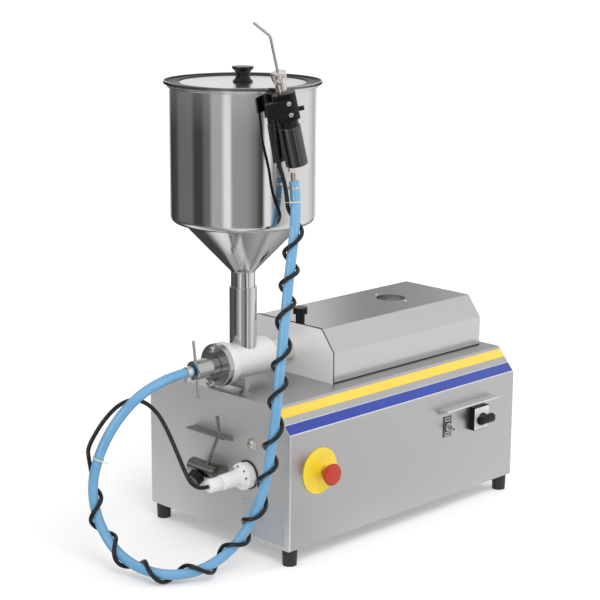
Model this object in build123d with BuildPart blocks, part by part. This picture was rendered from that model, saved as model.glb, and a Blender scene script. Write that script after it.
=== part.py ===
# Cream filling machine: a cabinet with a gable cover over the drive, a coaxial screw pump on its top,
# a hopper over the pump, and a filling gun on a hose that hangs at the hopper's wall.
# The floor is z = 0, x runs along the cabinet from the pump's end, and y runs from the front to the rear.
from math import cos, pi, radians, sin, sqrt, tan
import os

from build123d import *

# Cabinet
END_X = -290.0
FRONT_Y = -192.0
BODY_LENGTH = 664.0
BODY_WIDTH = 400.0
BODY_HEIGHT = 276.0
CHAMFER_IN = 42.0
CHAMFER_DROP = 49.0
SHEET = 1.5
BEND_RADIUS = 3.0
FLANGE_WIDTH = 32.0
FLOOR_PLATE = 2.0
FOOT_HEIGHT = 32.0
FOOT_R = 13.6
FOOT_TOP_R = 14.8
FOOT_INSET = 17.0
FOOT_STUD_R = 4.0
FIT = 0.3
SNUG = 0.05

# Hoods over the controls
HOOD_CENTER = 508.0
HOOD_LENGTH = 166.0
HOOD_TOP = 192.5
HOOD_DEPTH = 22.0
HOOD_DROP = 11.0
HOOD_LIP = 3.0
END_HOOD_CENTER = 211.0
END_HOOD_LENGTH = 110.0
END_HOOD_TOP = 193.5
END_HOOD_DEPTH = 23.0
END_HOOD_DROP = 10.0

# Emergency stop, measured from the cabinet's lower front corner
ESTOP_X = 78.6
ESTOP_Z = 144.8
ESTOP_DISC_R = 45.0
ESTOP_DISC_T = 2.0
ESTOP_COLLAR_R = 13.5
ESTOP_COLLAR_T = 12.0
ESTOP_NECK_R = 11.0
ESTOP_STEM_R = 6.0
ESTOP_HEAD_R = 23.5
ESTOP_HEAD_BACK_R = 13.5
ESTOP_HEAD_T = 19.0
ESTOP_HEAD_ROUND = 3.0
ESTOP_TRAVEL = 4.0
ESTOP_BLOCK = 34.0
ESTOP_BLOCK_DEPTH = 44.0

# Toggle switch and rotary main switch
TOGGLE_X = 450.0
TOGGLE_Z = 152.0
TOGGLE_BARREL_R = 6.0
TOGGLE_BARREL_L = 11.0
TOGGLE_NUT_R = 9.0
TOGGLE_NUT_T = 3.0
TOGGLE_PLATE_T = 1.5
TOGGLE_BORE_R = 4.2
TOGGLE_LEVER_L = 17.0
TOGGLE_LEVER_R = 2.6
TOGGLE_ROOT_R = 1.8
TOGGLE_PIN_R = 1.4
TOGGLE_TILT = 12.0
TOGGLE_BODY_W = 15.0
TOGGLE_BODY_H = 30.0
TOGGLE_BODY_DEPTH = 27.5
SWITCH_X = 545.5
SWITCH_Z = 153.5
SWITCH_W = 49.0
SWITCH_DEPTH = 12.5
SWITCH_PLATE_T = 1.5
SWITCH_BODY_R = 21.0
SWITCH_BODY_L = 46.0
SWITCH_HUB_R = 11.0
SWITCH_HUB_T = 5.0
SWITCH_HANDLE_W = 19.0
SWITCH_HANDLE_T = 14.0
SWITCH_HANDLE_TIP = 22.0
SWITCH_HANDLE_TAIL = 19.0
SWITCH_HANDLE_ROUND = 5.0
SWITCH_SPINDLE_R = 4.0

# Gable cover over the drive
BULKHEAD_X = 192.0
COVER_LENGTH = 450.0
COVER_WIDTH = 244.8
COVER_RIDGE = 178.4
COVER_WALL = 61.7
COVER_HEIGHT = 104.5
GASKET_T = 2.5
GASKET_W = 8.0
SEAM = 1.5
BULKHEAD_FLANGE = 20.0
KNOB_X = 202.0
KNOB_Y = 178.0
KNOB_HEAD_R = 14.6
KNOB_HEAD_T = 13.0
KNOB_HUB_R = 9.2
KNOB_HUB_T = 19.0
KNOB_SCREW_R = 3.0
KNOB_SCREW_L = 20.0
KNOB_FLUTES = 8
FLUTE_REACH = 1.12
FLUTE_SIZE = 0.24
CUP_X = 497.0
CUP_Y = 203.0
CUP_R = 30.0
CUP_DEPTH = 14.0
CUP_SHEET = 1.2
CUP_EAR_L = 100.0
CUP_EAR_W = 20.0

# Pump, on an axis along x
PUMP_H = 51.0
PUMP_R = 36.0
PUMP_LENGTH = 123.5
BODY_START = 6.0
FLANGE_R = 42.5
FLANGE_T = 12.0
BODY_FLANGE_T = 16.0
STUD_RING_R = 33.0
STUD_R = 4.0
NUT_R = 7.6
NUT_T = 7.0
NUT_DOME_R = 6.1
NUT_DOME_T = 4.9
NUT_DOME_ROUND = 3.5
SCREW_BORE_R = 26.0
SCREW_BORE_L = 106.0
SCREW_GAP = 0.5
SCREW_HUB_R = 11.0
SCREW_FLIGHT_T = 5.0
SCREW_TURN = 540.0
OUTLET_R = 8.0
SPIGOT_R = 12.5
SPIGOT_L = 26.0
UNION_R = 19.0
UNION_START = -63.0
UNION_WALL = 22.0
TOMMY_X = -54.0
TOMMY_R = 2.75
TOMMY_REACH = 57.0
TOMMY_SEAT = 11.0
TOMMY_TILT = 7.3
TOMMY_ROUND = 1.65
BARB_R = 5.8
BARB_BORE_R = 4.0
BARB_COLLAR_T = 8.0
BARB_L = 30.0
INLET_R = 20.0
SLEEVE_R = 26.5
SLEEVE_TOP = 196.0
SLEEVE_LEDGE = 8.0
YOKE_X = 28.6
YOKE_T = 12.0
YOKE_SPREAD = 48.0
YOKE_POST_R = 5.5
YOKE_BAR_LOW = 42.0
YOKE_BAR_HIGH = 22.0
NECK_R = 22.0
NECK_BORE_R = 16.0
NECK_COLLAR_R = 24.5
NECK_COLLAR_T = 8.0
NECK_TAIL = 6.0
SHAFT_R = 7.5
SHAFT_GRIP = 30.0
BEARING_W = 9.0
SEAL_W = 7.0
GEARBOX_X = 225.0
GEARBOX_L = 74.0
GEARBOX_SIZE = 84.0
GEARBOX_SEAT = 40.0
GEARBOX_FOOT_W = 104.0
MOTOR_R = 44.0
MOTOR_L = 130.0
MOTOR_RIBS = 20
MOTOR_RIB_DEPTH = 3.0

# Hopper, on an upright axis over the pump's inlet
HOPPER_FROM_END = 68.0
HOPPER_R = 138.5
HOPPER_SHEET = 1.5
HOPPER_NECK_R = 23.5
CONE_TOP_R = 114.5
CONE_FOOT = 226.0
CONE_HEIGHT = 95.7
KNUCKLE_HEIGHT = 4.0
KNUCKLE_R = 14.0
HOPPER_TOP = 586.5
BEAD_R = 3.2
LID_R = 149.0
LID_SHEET = 1.5
LID_LIP = 5.5
LID_SPIGOT_R = 134.0
LID_SPIGOT_H = 8.0
LID_KNOB_R = 20.5
LID_KNOB_WAIST_R = 13.0
LID_KNOB_BASE_R = 18.8
LID_KNOB_H = 29.5
LID_KNOB_BASE_H = 2.8
LID_KNOB_WAIST_H = 11.5
LID_KNOB_HEAD_H = 25.8

# Filling gun, hung at the hopper's wall with its grip's foot lowest
GUN_AZIMUTH = 262.3
GUN_FACING = 228.0
GUN_LEAN = 14.6
GUN_STANDOFF = 32.0
GUN_FOOT_H = 452.8
GRIP_R = 20.5
GRIP_L = 75.0
GUN_COLLAR_R = 18.0
GUN_COLLAR_L = 13.0
HEAD_BACK = 19.0
HEAD_FRONT = 20.0
HEAD_LEFT = 20.0
HEAD_RIGHT = 23.0
HEAD_L = 50.0
HEAD_ROUND = 11.0
GUN_NECK_R = 10.0
GUN_NECK_L = 17.0
NOZZLE_NUT_R = 14.0
NOZZLE_NUT_L = 22.0
NOZZLE_R = 2.75
NOZZLE_BORE_R = 2.0
NOZZLE_RUN = 87.0
NOZZLE_TIP = 38.0
NOZZLE_BEND = 39.0
NOZZLE_BEND_R = 16.0
BLOCK_LEFT = 34.0
BLOCK_RIGHT = 12.0
BLOCK_T = 16.0
BLOCK_LOW = 100.0
BLOCK_L = 30.0
BLOCK_CABLE_IN = 6.0
TRIGGER_R = 4.2
TRIGGER_OUT = 10.0
TRIGGER_IN = 9.0
TRIGGER_UP = 14.0
TRIGGER_TRAVEL = 4.0
FITTING_SIDE = -6.0
FITTING_HEX_R = 11.0
FITTING_HEX_L = 12.0
FITTING_NECK_R = 6.5
FITTING_BARB_L = 30.0
HANGER_W = 16.0
HANGER_H = 14.0
HANGER_UP = 20.0

# Hose and control cable
HOSE_R = 9.5
HOSE_BORE_R = 6.0
CABLE_R = 4.0
WIND_GAP = 0.6
CLAMP_T = 1.2
CLAMP_W = 10.0
CLAMP_SCREW = 9.0
HOSE_FROM_NUT = 3.0
HOSE_FROM_HEX = 4.5
ARC_SHARE = 0.45
FIRST_TURN = 0.25
LAST_TURN = 13.5
LEAD = 12.0

# End panel fittings, measured from the cabinet's lower front corner
PLUG_Y = 114.0
PLUG_Z = 127.5
SOCKET_R = 26.0
SOCKET_T = 9.0
SOCKET_HOLE_R = 17.0
SOCKET_BODY_L = 24.0
PLUG_HEAD_R = 27.0
PLUG_HEAD_T = 13.0
PLUG_BODY_R = 15.5
PLUG_BODY_L = 50.3
PLUG_GLAND_R = 13.5
PLUG_GLAND_L = 30.3
LEVER_X = 25.0
LEVER_Z = 121.0
LEVER_HUB_R = 16.5
LEVER_HUB_FROM = 190.0
LEVER_HUB_L = 55.0
LEVER_PIN_R = 5.0
LEVER_COLLAR_R = 17.5
LEVER_COLLAR_L = 20.0
LEVER_FOOT_W = 16.0
LEVER_ROD_R = 3.3
LEVER_ROD_OUT = 6.0
LEVER_ROD_BEND = 29.0
LEVER_ROD_MID = 85.0
LEVER_ROD_TIP = 118.0
CLAMP_KNOB_R = 16.0
CLAMP_KNOB_T = 17.0
CLAMP_KNOB_Y = 22.0
CLAMP_KNOB_DIP = 30.0
CLAMP_STUD_R = 3.5
CLAMP_STUD_GAP = 1.5
CLAMP_STUD_SEAT = 6.0

# Rear cable gland and the speed controller in the cabinet
GLAND_X = 584.0
GLAND_Z = 60.0
GLAND_HEX_R = 13.0
GLAND_HEX_T = 6.0
GLAND_DOME_R = 10.5
GLAND_DOME_L = 12.0
GLAND_BORE_R = 4.5
GLAND_TAIL = 12.0
DRIVE_X = 300.0
DRIVE_L = 130.0
DRIVE_W = 160.0
DRIVE_H = 120.0
DRIVE_FINS = 9

# Places that follow from the sizes
RIGHT_X = END_X + BODY_LENGTH
REAR_Y = FRONT_Y + BODY_WIDTH
MID_X = END_X + BODY_LENGTH / 2
MID_Y = FRONT_Y + BODY_WIDTH / 2
UNDER_Z = FOOT_HEIGHT
TOP_Z = UNDER_Z + BODY_HEIGHT
PUMP_Z = TOP_Z + PUMP_H
PUMP_END = BODY_START + PUMP_LENGTH
COVER_START = BULKHEAD_X + SHEET + SEAM
COVER_END = BULKHEAD_X + COVER_LENGTH
COVER_TOP_Z = TOP_Z + COVER_HEIGHT
HOPPER_X = END_X + HOPPER_FROM_END
BEAD_Z = TOP_Z + HOPPER_TOP - BEAD_R
LID_Z = TOP_Z + HOPPER_TOP + FIT
LEDGE_Z = PUMP_Z + PUMP_R + SLEEVE_LEDGE

front_wall = Plane(origin=(END_X, FRONT_Y, UNDER_Z), x_dir=(1, 0, 0), z_dir=(0, -1, 0))
end_wall = Plane(origin=(END_X, FRONT_Y, UNDER_Z), x_dir=(0, -1, 0), z_dir=(-1, 0, 0))
rear_wall = Plane(origin=(END_X, REAR_Y, UNDER_Z), x_dir=(-1, 0, 0), z_dir=(0, 1, 0))
hopper_floor = Plane(origin=(HOPPER_X, MID_Y, 0))
hopper_side = Plane(origin=(HOPPER_X, MID_Y, 0), x_dir=(1, 0, 0), z_dir=(0, -1, 0))
hopper_axis = Axis((HOPPER_X, MID_Y, 0), (0, 0, 1))

# The gun's own frame: x to its front, y to its right and z along the grip
gun_out = Vector(1, 0, 0).rotate(Axis.Z, GUN_AZIMUTH)
gun_axis = Vector(0, 0, 1).rotate(Axis((0, 0, 0), gun_out), GUN_LEAN)
gun_look = Vector(1, 0, 0).rotate(Axis.Z, GUN_FACING)
gun_front = gun_look - gun_axis * gun_look.dot(gun_axis)
gun_foot = Vector(HOPPER_X, MID_Y, TOP_Z + GUN_FOOT_H) + gun_out * (HOPPER_R + GUN_STANDOFF)
gun = Plane(origin=gun_foot, x_dir=gun_front, z_dir=gun_axis)
HEAD_LOW = GRIP_L + GUN_COLLAR_L
HEAD_TOP = HEAD_LOW + HEAD_L
NUT_LOW = HEAD_TOP + GUN_NECK_L
fitting_top = gun.from_local_coords(Vector(0, FITTING_SIDE, 0))


def across(x):
    # Upright plane square to the pump's axis, a distance x in from the end panel
    return Plane(origin=(END_X + x, MID_Y, PUMP_Z), x_dir=(0, 1, 0), z_dir=(1, 0, 0))


def body_outline():
    Polygon(
        (FRONT_Y, UNDER_Z),
        (REAR_Y, UNDER_Z),
        (REAR_Y, TOP_Z - CHAMFER_DROP),
        (REAR_Y - CHAMFER_IN, TOP_Z),
        (FRONT_Y + CHAMFER_IN, TOP_Z),
        (FRONT_Y, TOP_Z - CHAMFER_DROP),
        align=None,
    )


def cover_outline(bottom):
    Polygon(
        (MID_Y - COVER_WIDTH / 2, bottom),
        (MID_Y + COVER_WIDTH / 2, bottom),
        (MID_Y + COVER_WIDTH / 2, TOP_Z + COVER_WALL),
        (MID_Y + COVER_RIDGE / 2, COVER_TOP_Z),
        (MID_Y - COVER_RIDGE / 2, COVER_TOP_Z),
        (MID_Y - COVER_WIDTH / 2, TOP_Z + COVER_WALL),
        align=None,
    )


def wall_hood(wall, center, top, length, depth, drop):
    # A shelf of folded sheet with a turned-down lip and a triangular gusset at each end
    side = Plane(
        origin=wall.from_local_coords(Vector(center + length / 2, top, 0)),
        x_dir=wall.z_dir,
        z_dir=wall.x_dir * -1,
    )
    with BuildPart() as hood:
        with BuildSketch(side):
            with BuildLine():
                Polyline(
                    (0, 0),
                    (depth, 0),
                    (depth, -HOOD_LIP),
                    (depth - SHEET, -HOOD_LIP),
                    (depth - SHEET, -SHEET),
                    (0, -SHEET),
                    close=True,
                )
            make_face()
        extrude(amount=length)
        for start in (0, length - SHEET):
            with BuildSketch(side.offset(start)):
                Polygon((0, 0), (depth, 0), (0, -drop), align=None)
            extrude(amount=SHEET)
    return hood


def fluted_outline(radius):
    # A round grip with scallops round its edge
    Circle(radius)
    with PolarLocations(radius * FLUTE_REACH, KNOB_FLUTES):
        Circle(radius * FLUTE_SIZE, mode=Mode.SUBTRACT)


def route_radii(points):
    # Each corner's arc takes the same share of the shorter of its two runs
    radii = []
    for before, corner, after in zip(points, points[1:], points[2:]):
        incoming = Vector(*corner) - Vector(*before)
        outgoing = Vector(*after) - Vector(*corner)
        turn = incoming.get_angle(outgoing)
        radii.append(ARC_SHARE * min(incoming.length, outgoing.length) / tan(radians(turn / 2)))
    return radii


# Cabinet
foot_spacing_x = BODY_LENGTH - 2 * FOOT_INSET
foot_spacing_y = BODY_WIDTH - 2 * FOOT_INSET

with BuildPart() as base_housing:
    with BuildSketch(Plane.YZ.offset(END_X + SHEET)) as wrap:
        body_outline()
        fillet(wrap.vertices(), BEND_RADIUS)
        offset(amount=-SHEET, mode=Mode.SUBTRACT)
        with Locations((MID_Y, UNDER_Z)):
            Rectangle(BODY_WIDTH - 2 * FLANGE_WIDTH, 4 * SHEET, mode=Mode.SUBTRACT)
    extrude(amount=BODY_LENGTH - 2 * SHEET)
    with BuildSketch(front_wall):
        with Locations((ESTOP_X, ESTOP_Z)):
            Circle(ESTOP_NECK_R + FIT)
        with Locations((TOGGLE_X, TOGGLE_Z)):
            Circle(TOGGLE_BARREL_R + FIT)
        with Locations((SWITCH_X, SWITCH_Z)):
            Circle(SWITCH_BODY_R + FIT)
    extrude(amount=-2 * SHEET, mode=Mode.SUBTRACT)
    with BuildSketch(rear_wall):
        with Locations((-GLAND_X, GLAND_Z)):
            Circle(GLAND_DOME_R + FIT)
    extrude(amount=-2 * SHEET, mode=Mode.SUBTRACT)
    with BuildSketch(Plane((MID_X, MID_Y, UNDER_Z))):
        with GridLocations(foot_spacing_x, foot_spacing_y, 2, 2):
            Circle(FOOT_STUD_R + FIT)
    extrude(amount=2 * SHEET, mode=Mode.SUBTRACT)

with BuildPart() as end_panel_left:
    with BuildSketch(Plane.YZ.offset(END_X)) as left_outline:
        body_outline()
        fillet(left_outline.vertices(), BEND_RADIUS)
    extrude(amount=SHEET)
    with BuildSketch(end_wall):
        with Locations((-PLUG_Y, PLUG_Z)):
            Circle(SOCKET_HOLE_R + FIT)
    extrude(amount=-2 * SHEET, mode=Mode.SUBTRACT)

with BuildPart() as end_panel_right:
    with BuildSketch(Plane.YZ.offset(RIGHT_X - SHEET)) as right_outline:
        body_outline()
        fillet(right_outline.vertices(), BEND_RADIUS)
    extrude(amount=SHEET)

with BuildPart() as base_plate:
    with BuildSketch(Plane((MID_X, MID_Y, UNDER_Z + SHEET))):
        Rectangle(BODY_LENGTH - 4 * SHEET, BODY_WIDTH - 2 * BEND_RADIUS - 2 * SHEET)
        with GridLocations(foot_spacing_x, foot_spacing_y, 2, 2):
            Circle(FOOT_STUD_R + FIT, mode=Mode.SUBTRACT)
    extrude(amount=FLOOR_PLATE)

with BuildPart() as rubber_feet:
    with BuildSketch(Plane((MID_X, MID_Y, UNDER_Z))):
        with GridLocations(foot_spacing_x, foot_spacing_y, 2, 2):
            Circle(FOOT_STUD_R)
    extrude(amount=SHEET + FLOOR_PLATE + FOOT_STUD_R)
    with Locations((MID_X, MID_Y, UNDER_Z / 2)):
        with GridLocations(foot_spacing_x, foot_spacing_y, 2, 2):
            Cone(FOOT_R, FOOT_TOP_R, UNDER_Z)

control_hood = wall_hood(front_wall, HOOD_CENTER, HOOD_TOP, HOOD_LENGTH, HOOD_DEPTH, HOOD_DROP)
end_hood = wall_hood(
    end_wall, -END_HOOD_CENTER, END_HOOD_TOP, END_HOOD_LENGTH, END_HOOD_DEPTH, END_HOOD_DROP
)

with BuildPart() as mains_gland:
    with BuildSketch(rear_wall):
        with Locations((-GLAND_X, GLAND_Z)):
            RegularPolygon(GLAND_HEX_R, 6)
    extrude(amount=GLAND_HEX_T)
    with BuildSketch(rear_wall.offset(-GLAND_TAIL)):
        with Locations((-GLAND_X, GLAND_Z)):
            Circle(GLAND_DOME_R)
    extrude(amount=GLAND_TAIL + GLAND_HEX_T + GLAND_DOME_L)
    dome_edge = mains_gland.edges().filter_by(GeomType.CIRCLE).sort_by(Axis.Y)[-1]
    fillet(dome_edge, GLAND_DOME_R / 3)
    with BuildSketch(rear_wall.offset(-GLAND_TAIL)):
        with Locations((-GLAND_X, GLAND_Z)):
            Circle(GLAND_BORE_R)
    extrude(amount=GLAND_TAIL + GLAND_HEX_T + GLAND_DOME_L, mode=Mode.SUBTRACT)

drive_floor = Plane((END_X + DRIVE_X, MID_Y, UNDER_Z + SHEET + FLOOR_PLATE))
with BuildPart() as motor_drive:
    with BuildSketch(drive_floor):
        Rectangle(DRIVE_L, DRIVE_W)
    extrude(amount=DRIVE_H)
    fin_pitch = DRIVE_W / DRIVE_FINS
    with BuildSketch(drive_floor.offset(DRIVE_H)):
        with GridLocations(0, fin_pitch, 1, DRIVE_FINS):
            Rectangle(DRIVE_L, fin_pitch / 2)
    extrude(amount=-DRIVE_H / 5, mode=Mode.SUBTRACT)

# Emergency stop
with BuildPart() as estop_disc:
    with BuildSketch(front_wall):
        with Locations((ESTOP_X, ESTOP_Z)):
            Circle(ESTOP_DISC_R)
            Circle(ESTOP_NECK_R + FIT, mode=Mode.SUBTRACT)
    extrude(amount=ESTOP_DISC_T)

with BuildPart() as estop_collar:
    with BuildSketch(front_wall.offset(ESTOP_DISC_T)):
        with Locations((ESTOP_X, ESTOP_Z)):
            Circle(ESTOP_COLLAR_R)
    extrude(amount=ESTOP_COLLAR_T - ESTOP_DISC_T)
    with BuildSketch(front_wall.offset(-SHEET)):
        with Locations((ESTOP_X, ESTOP_Z)):
            Circle(ESTOP_NECK_R)
    extrude(amount=SHEET + ESTOP_DISC_T)
    with BuildSketch(front_wall.offset(-SHEET - ESTOP_BLOCK_DEPTH)):
        with Locations((ESTOP_X, ESTOP_Z)):
            Rectangle(ESTOP_BLOCK, ESTOP_BLOCK)
    extrude(amount=ESTOP_BLOCK_DEPTH)
    with BuildSketch(front_wall.offset(ESTOP_COLLAR_T)):
        with Locations((ESTOP_X, ESTOP_Z)):
            Circle(ESTOP_STEM_R + FIT)
    extrude(amount=-ESTOP_COLLAR_T - 2 * ESTOP_TRAVEL, mode=Mode.SUBTRACT)

estop_head = ESTOP_COLLAR_T + 2 * ESTOP_TRAVEL
with BuildPart() as estop_button:
    with BuildSketch(front_wall.offset(estop_head)):
        with Locations((ESTOP_X, ESTOP_Z)):
            Circle(ESTOP_HEAD_BACK_R)
    with BuildSketch(front_wall.offset(estop_head + ESTOP_HEAD_T)):
        with Locations((ESTOP_X, ESTOP_Z)):
            Circle(ESTOP_HEAD_R)
    loft()
    fillet(estop_button.edges().sort_by(Axis.Y)[0], ESTOP_HEAD_ROUND)
    with BuildSketch(front_wall):
        with Locations((ESTOP_X, ESTOP_Z)):
            Circle(ESTOP_STEM_R)
    extrude(amount=estop_head)

# Toggle switch, its lever pointing down at rest
with BuildPart() as toggle_switch:
    with BuildSketch(front_wall.offset(TOGGLE_PLATE_T)):
        with Locations((TOGGLE_X, TOGGLE_Z)):
            RegularPolygon(TOGGLE_NUT_R, 6)
    extrude(amount=TOGGLE_NUT_T)
    with BuildSketch(front_wall.offset(-SHEET)):
        with Locations((TOGGLE_X, TOGGLE_Z)):
            Circle(TOGGLE_BARREL_R)
    extrude(amount=SHEET + TOGGLE_BARREL_L)
    with BuildSketch(front_wall.offset(-SHEET - TOGGLE_BODY_DEPTH)):
        with Locations((TOGGLE_X, TOGGLE_Z)):
            Rectangle(TOGGLE_BODY_W, TOGGLE_BODY_H)
    extrude(amount=TOGGLE_BODY_DEPTH)
    with BuildSketch(front_wall.offset(TOGGLE_BARREL_L)):
        with Locations((TOGGLE_X, TOGGLE_Z)):
            Circle(TOGGLE_BORE_R)
    extrude(amount=-TOGGLE_BARREL_L, mode=Mode.SUBTRACT)

toggle_pivot = front_wall.from_local_coords(Vector(TOGGLE_X, TOGGLE_Z, TOGGLE_BARREL_L - TOGGLE_BORE_R))
toggle_way = front_wall.z_dir.rotate(Axis.X, TOGGLE_TILT)
toggle_plane = Plane(origin=toggle_pivot, x_dir=(1, 0, 0), z_dir=toggle_way)
with BuildPart() as toggle_lever:
    with Locations(toggle_plane.location):
        Sphere(TOGGLE_LEVER_R)
        Cylinder(TOGGLE_PIN_R, 2 * (TOGGLE_BORE_R - 2 * FIT), rotation=(0, 90, 0))
    with BuildSketch(toggle_plane):
        Circle(TOGGLE_ROOT_R)
    with BuildSketch(toggle_plane.offset(TOGGLE_LEVER_L)):
        Circle(TOGGLE_LEVER_R)
    loft()

# Main switch, its handle level at rest
with BuildPart() as main_switch_base:
    with BuildSketch(front_wall):
        with Locations((SWITCH_X, SWITCH_Z)):
            RectangleRounded(SWITCH_W, SWITCH_W, 2 * SHEET)
    extrude(amount=SWITCH_DEPTH)
    with BuildSketch(front_wall):
        with Locations((SWITCH_X, SWITCH_Z)):
            Circle(SWITCH_BODY_R)
    extrude(amount=-SHEET - SWITCH_BODY_L)
    with BuildSketch(front_wall.offset(SWITCH_DEPTH)):
        with Locations((SWITCH_X, SWITCH_Z)):
            Circle(SWITCH_SPINDLE_R + SNUG)
    extrude(amount=-2 * SWITCH_DEPTH, mode=Mode.SUBTRACT)

switch_face = SWITCH_DEPTH + SWITCH_PLATE_T + FIT
with BuildPart() as main_switch_knob:
    with BuildSketch(front_wall.offset(switch_face)):
        with Locations((SWITCH_X, SWITCH_Z)):
            Circle(SWITCH_HUB_R)
    extrude(amount=SWITCH_HUB_T)
    handle_middle = (SWITCH_HANDLE_TIP - SWITCH_HANDLE_TAIL) / 2
    with BuildSketch(front_wall.offset(switch_face + SWITCH_HUB_T)):
        with Locations((SWITCH_X + handle_middle, SWITCH_Z)):
            SlotOverall(SWITCH_HANDLE_TIP + SWITCH_HANDLE_TAIL, SWITCH_HANDLE_W)
    extrude(amount=SWITCH_HANDLE_T)
    fillet(main_switch_knob.faces().sort_by(Axis.Y)[0].edges(), SWITCH_HANDLE_ROUND)
    with BuildSketch(front_wall):
        with Locations((SWITCH_X, SWITCH_Z)):
            Circle(SWITCH_SPINDLE_R)
    extrude(amount=switch_face)

# Gable cover, with the bulkhead that its open end meets
knob_place = (END_X + KNOB_X, FRONT_Y + KNOB_Y)
cup_place = (END_X + CUP_X, FRONT_Y + CUP_Y)

with BuildPart() as cover_bulkhead:
    with BuildSketch(Plane.YZ.offset(END_X + BULKHEAD_X)) as bulkhead_outline:
        cover_outline(TOP_Z)
        fillet(bulkhead_outline.vertices().group_by(Axis.Y)[1:], BEND_RADIUS)
        with Locations((MID_Y, PUMP_Z)):
            Circle(NECK_R + FIT, mode=Mode.SUBTRACT)
    extrude(amount=SHEET)
    with BuildSketch(Plane.YZ.offset(END_X + BULKHEAD_X + SHEET)):
        cover_outline(TOP_Z)
        offset(amount=-SHEET - FIT, mode=Mode.REPLACE)
        offset(amount=-SHEET, mode=Mode.SUBTRACT)
        with Locations((MID_Y, TOP_Z)):
            Rectangle(COVER_WIDTH, 4 * GASKET_T, mode=Mode.SUBTRACT)
        with Locations((MID_Y, TOP_Z + SHEET / 2)):
            Rectangle(COVER_WIDTH - 4 * GASKET_W, SHEET)
    extrude(amount=BULKHEAD_FLANGE)
    with BuildSketch(Plane.XY.offset(COVER_TOP_Z)):
        with Locations(knob_place):
            Circle(KNOB_SCREW_R + FIT)
    extrude(amount=-4 * SHEET, mode=Mode.SUBTRACT)

with BuildPart() as gable_cover:
    with BuildSketch(Plane.YZ.offset(END_X + COVER_START)) as cover_wrap:
        cover_outline(TOP_Z + GASKET_T)
        fillet(cover_wrap.vertices().group_by(Axis.Y)[1:], BEND_RADIUS)
        offset(amount=-SHEET, mode=Mode.SUBTRACT)
        with Locations((MID_Y, TOP_Z + GASKET_T)):
            Rectangle(COVER_WIDTH - 2 * SHEET, 4 * SHEET, mode=Mode.SUBTRACT)
    extrude(amount=COVER_END - COVER_START)
    with BuildSketch(Plane.YZ.offset(END_X + COVER_END - SHEET)) as cover_end:
        cover_outline(TOP_Z + GASKET_T)
        fillet(cover_end.vertices().group_by(Axis.Y)[1:], BEND_RADIUS)
    extrude(amount=SHEET)
    with BuildSketch(Plane.XY.offset(COVER_TOP_Z)):
        with Locations(knob_place):
            Circle(KNOB_SCREW_R + FIT)
        with Locations(cup_place):
            Circle(CUP_R)
    extrude(amount=-2 * SHEET, mode=Mode.SUBTRACT)

with BuildPart() as cover_gasket:
    gasket_middle = (END_X + (COVER_START + COVER_END) / 2, MID_Y)
    gasket_length = COVER_END - COVER_START
    with BuildSketch(Plane.XY.offset(TOP_Z)):
        with Locations(gasket_middle):
            Rectangle(gasket_length, COVER_WIDTH)
        with Locations((gasket_middle[0] - GASKET_W, MID_Y)):
            Rectangle(gasket_length, COVER_WIDTH - 2 * GASKET_W, mode=Mode.SUBTRACT)
    extrude(amount=GASKET_T)

with BuildPart() as cover_grip_cup:
    with BuildSketch(Plane.XY.offset(COVER_TOP_Z - SHEET)):
        with Locations(Location((cup_place[0], cup_place[1], 0), (0, 0, 90))):
            SlotOverall(CUP_EAR_L, CUP_EAR_W)
        with Locations(cup_place):
            Circle(CUP_R + 4 * CUP_SHEET)
    extrude(amount=-CUP_SHEET)
    with BuildSketch(Plane.XY.offset(COVER_TOP_Z - SHEET)):
        with Locations(cup_place):
            Circle(CUP_R + CUP_SHEET)
    extrude(amount=-CUP_DEPTH)
    with BuildSketch(Plane.XY.offset(COVER_TOP_Z - SHEET)):
        with Locations(cup_place):
            Circle(CUP_R)
    extrude(amount=CUP_SHEET - CUP_DEPTH, mode=Mode.SUBTRACT)

knob_seat = Plane((END_X + KNOB_X, FRONT_Y + KNOB_Y, COVER_TOP_Z))
with BuildPart() as cover_knob:
    with BuildSketch(knob_seat.offset(KNOB_HUB_T)):
        fluted_outline(KNOB_HEAD_R)
    extrude(amount=KNOB_HEAD_T)
    with BuildSketch(knob_seat):
        Circle(KNOB_HUB_R)
    extrude(amount=KNOB_HUB_T)
    with BuildSketch(knob_seat):
        Circle(KNOB_SCREW_R)
    extrude(amount=-KNOB_SCREW_L)

# Pump
with BuildPart() as pump_body:
    with BuildSketch(across(BODY_START)):
        Circle(PUMP_R)
    extrude(amount=PUMP_LENGTH)
    chamfer(pump_body.edges().sort_by(Axis.X)[-1], PUMP_R / 9)
    with BuildSketch(across(BODY_START)):
        Circle(FLANGE_R - SHEET / 3)
    extrude(amount=BODY_FLANGE_T)
    with BuildSketch(across(BODY_START)):
        with PolarLocations(STUD_RING_R, 2, start_angle=90):
            Circle(STUD_R + SNUG)
    extrude(amount=BODY_FLANGE_T, mode=Mode.SUBTRACT)
    with BuildSketch(across(BODY_START)):
        Circle(SCREW_BORE_R)
    extrude(amount=SCREW_BORE_L, mode=Mode.SUBTRACT)
    with BuildSketch(across(BODY_START)):
        Circle(SHAFT_R + FIT)
    extrude(amount=PUMP_LENGTH, mode=Mode.SUBTRACT)
    with BuildSketch(hopper_floor.offset(PUMP_Z)):
        Circle(INLET_R)
    extrude(amount=PUMP_R, mode=Mode.SUBTRACT)

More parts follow.
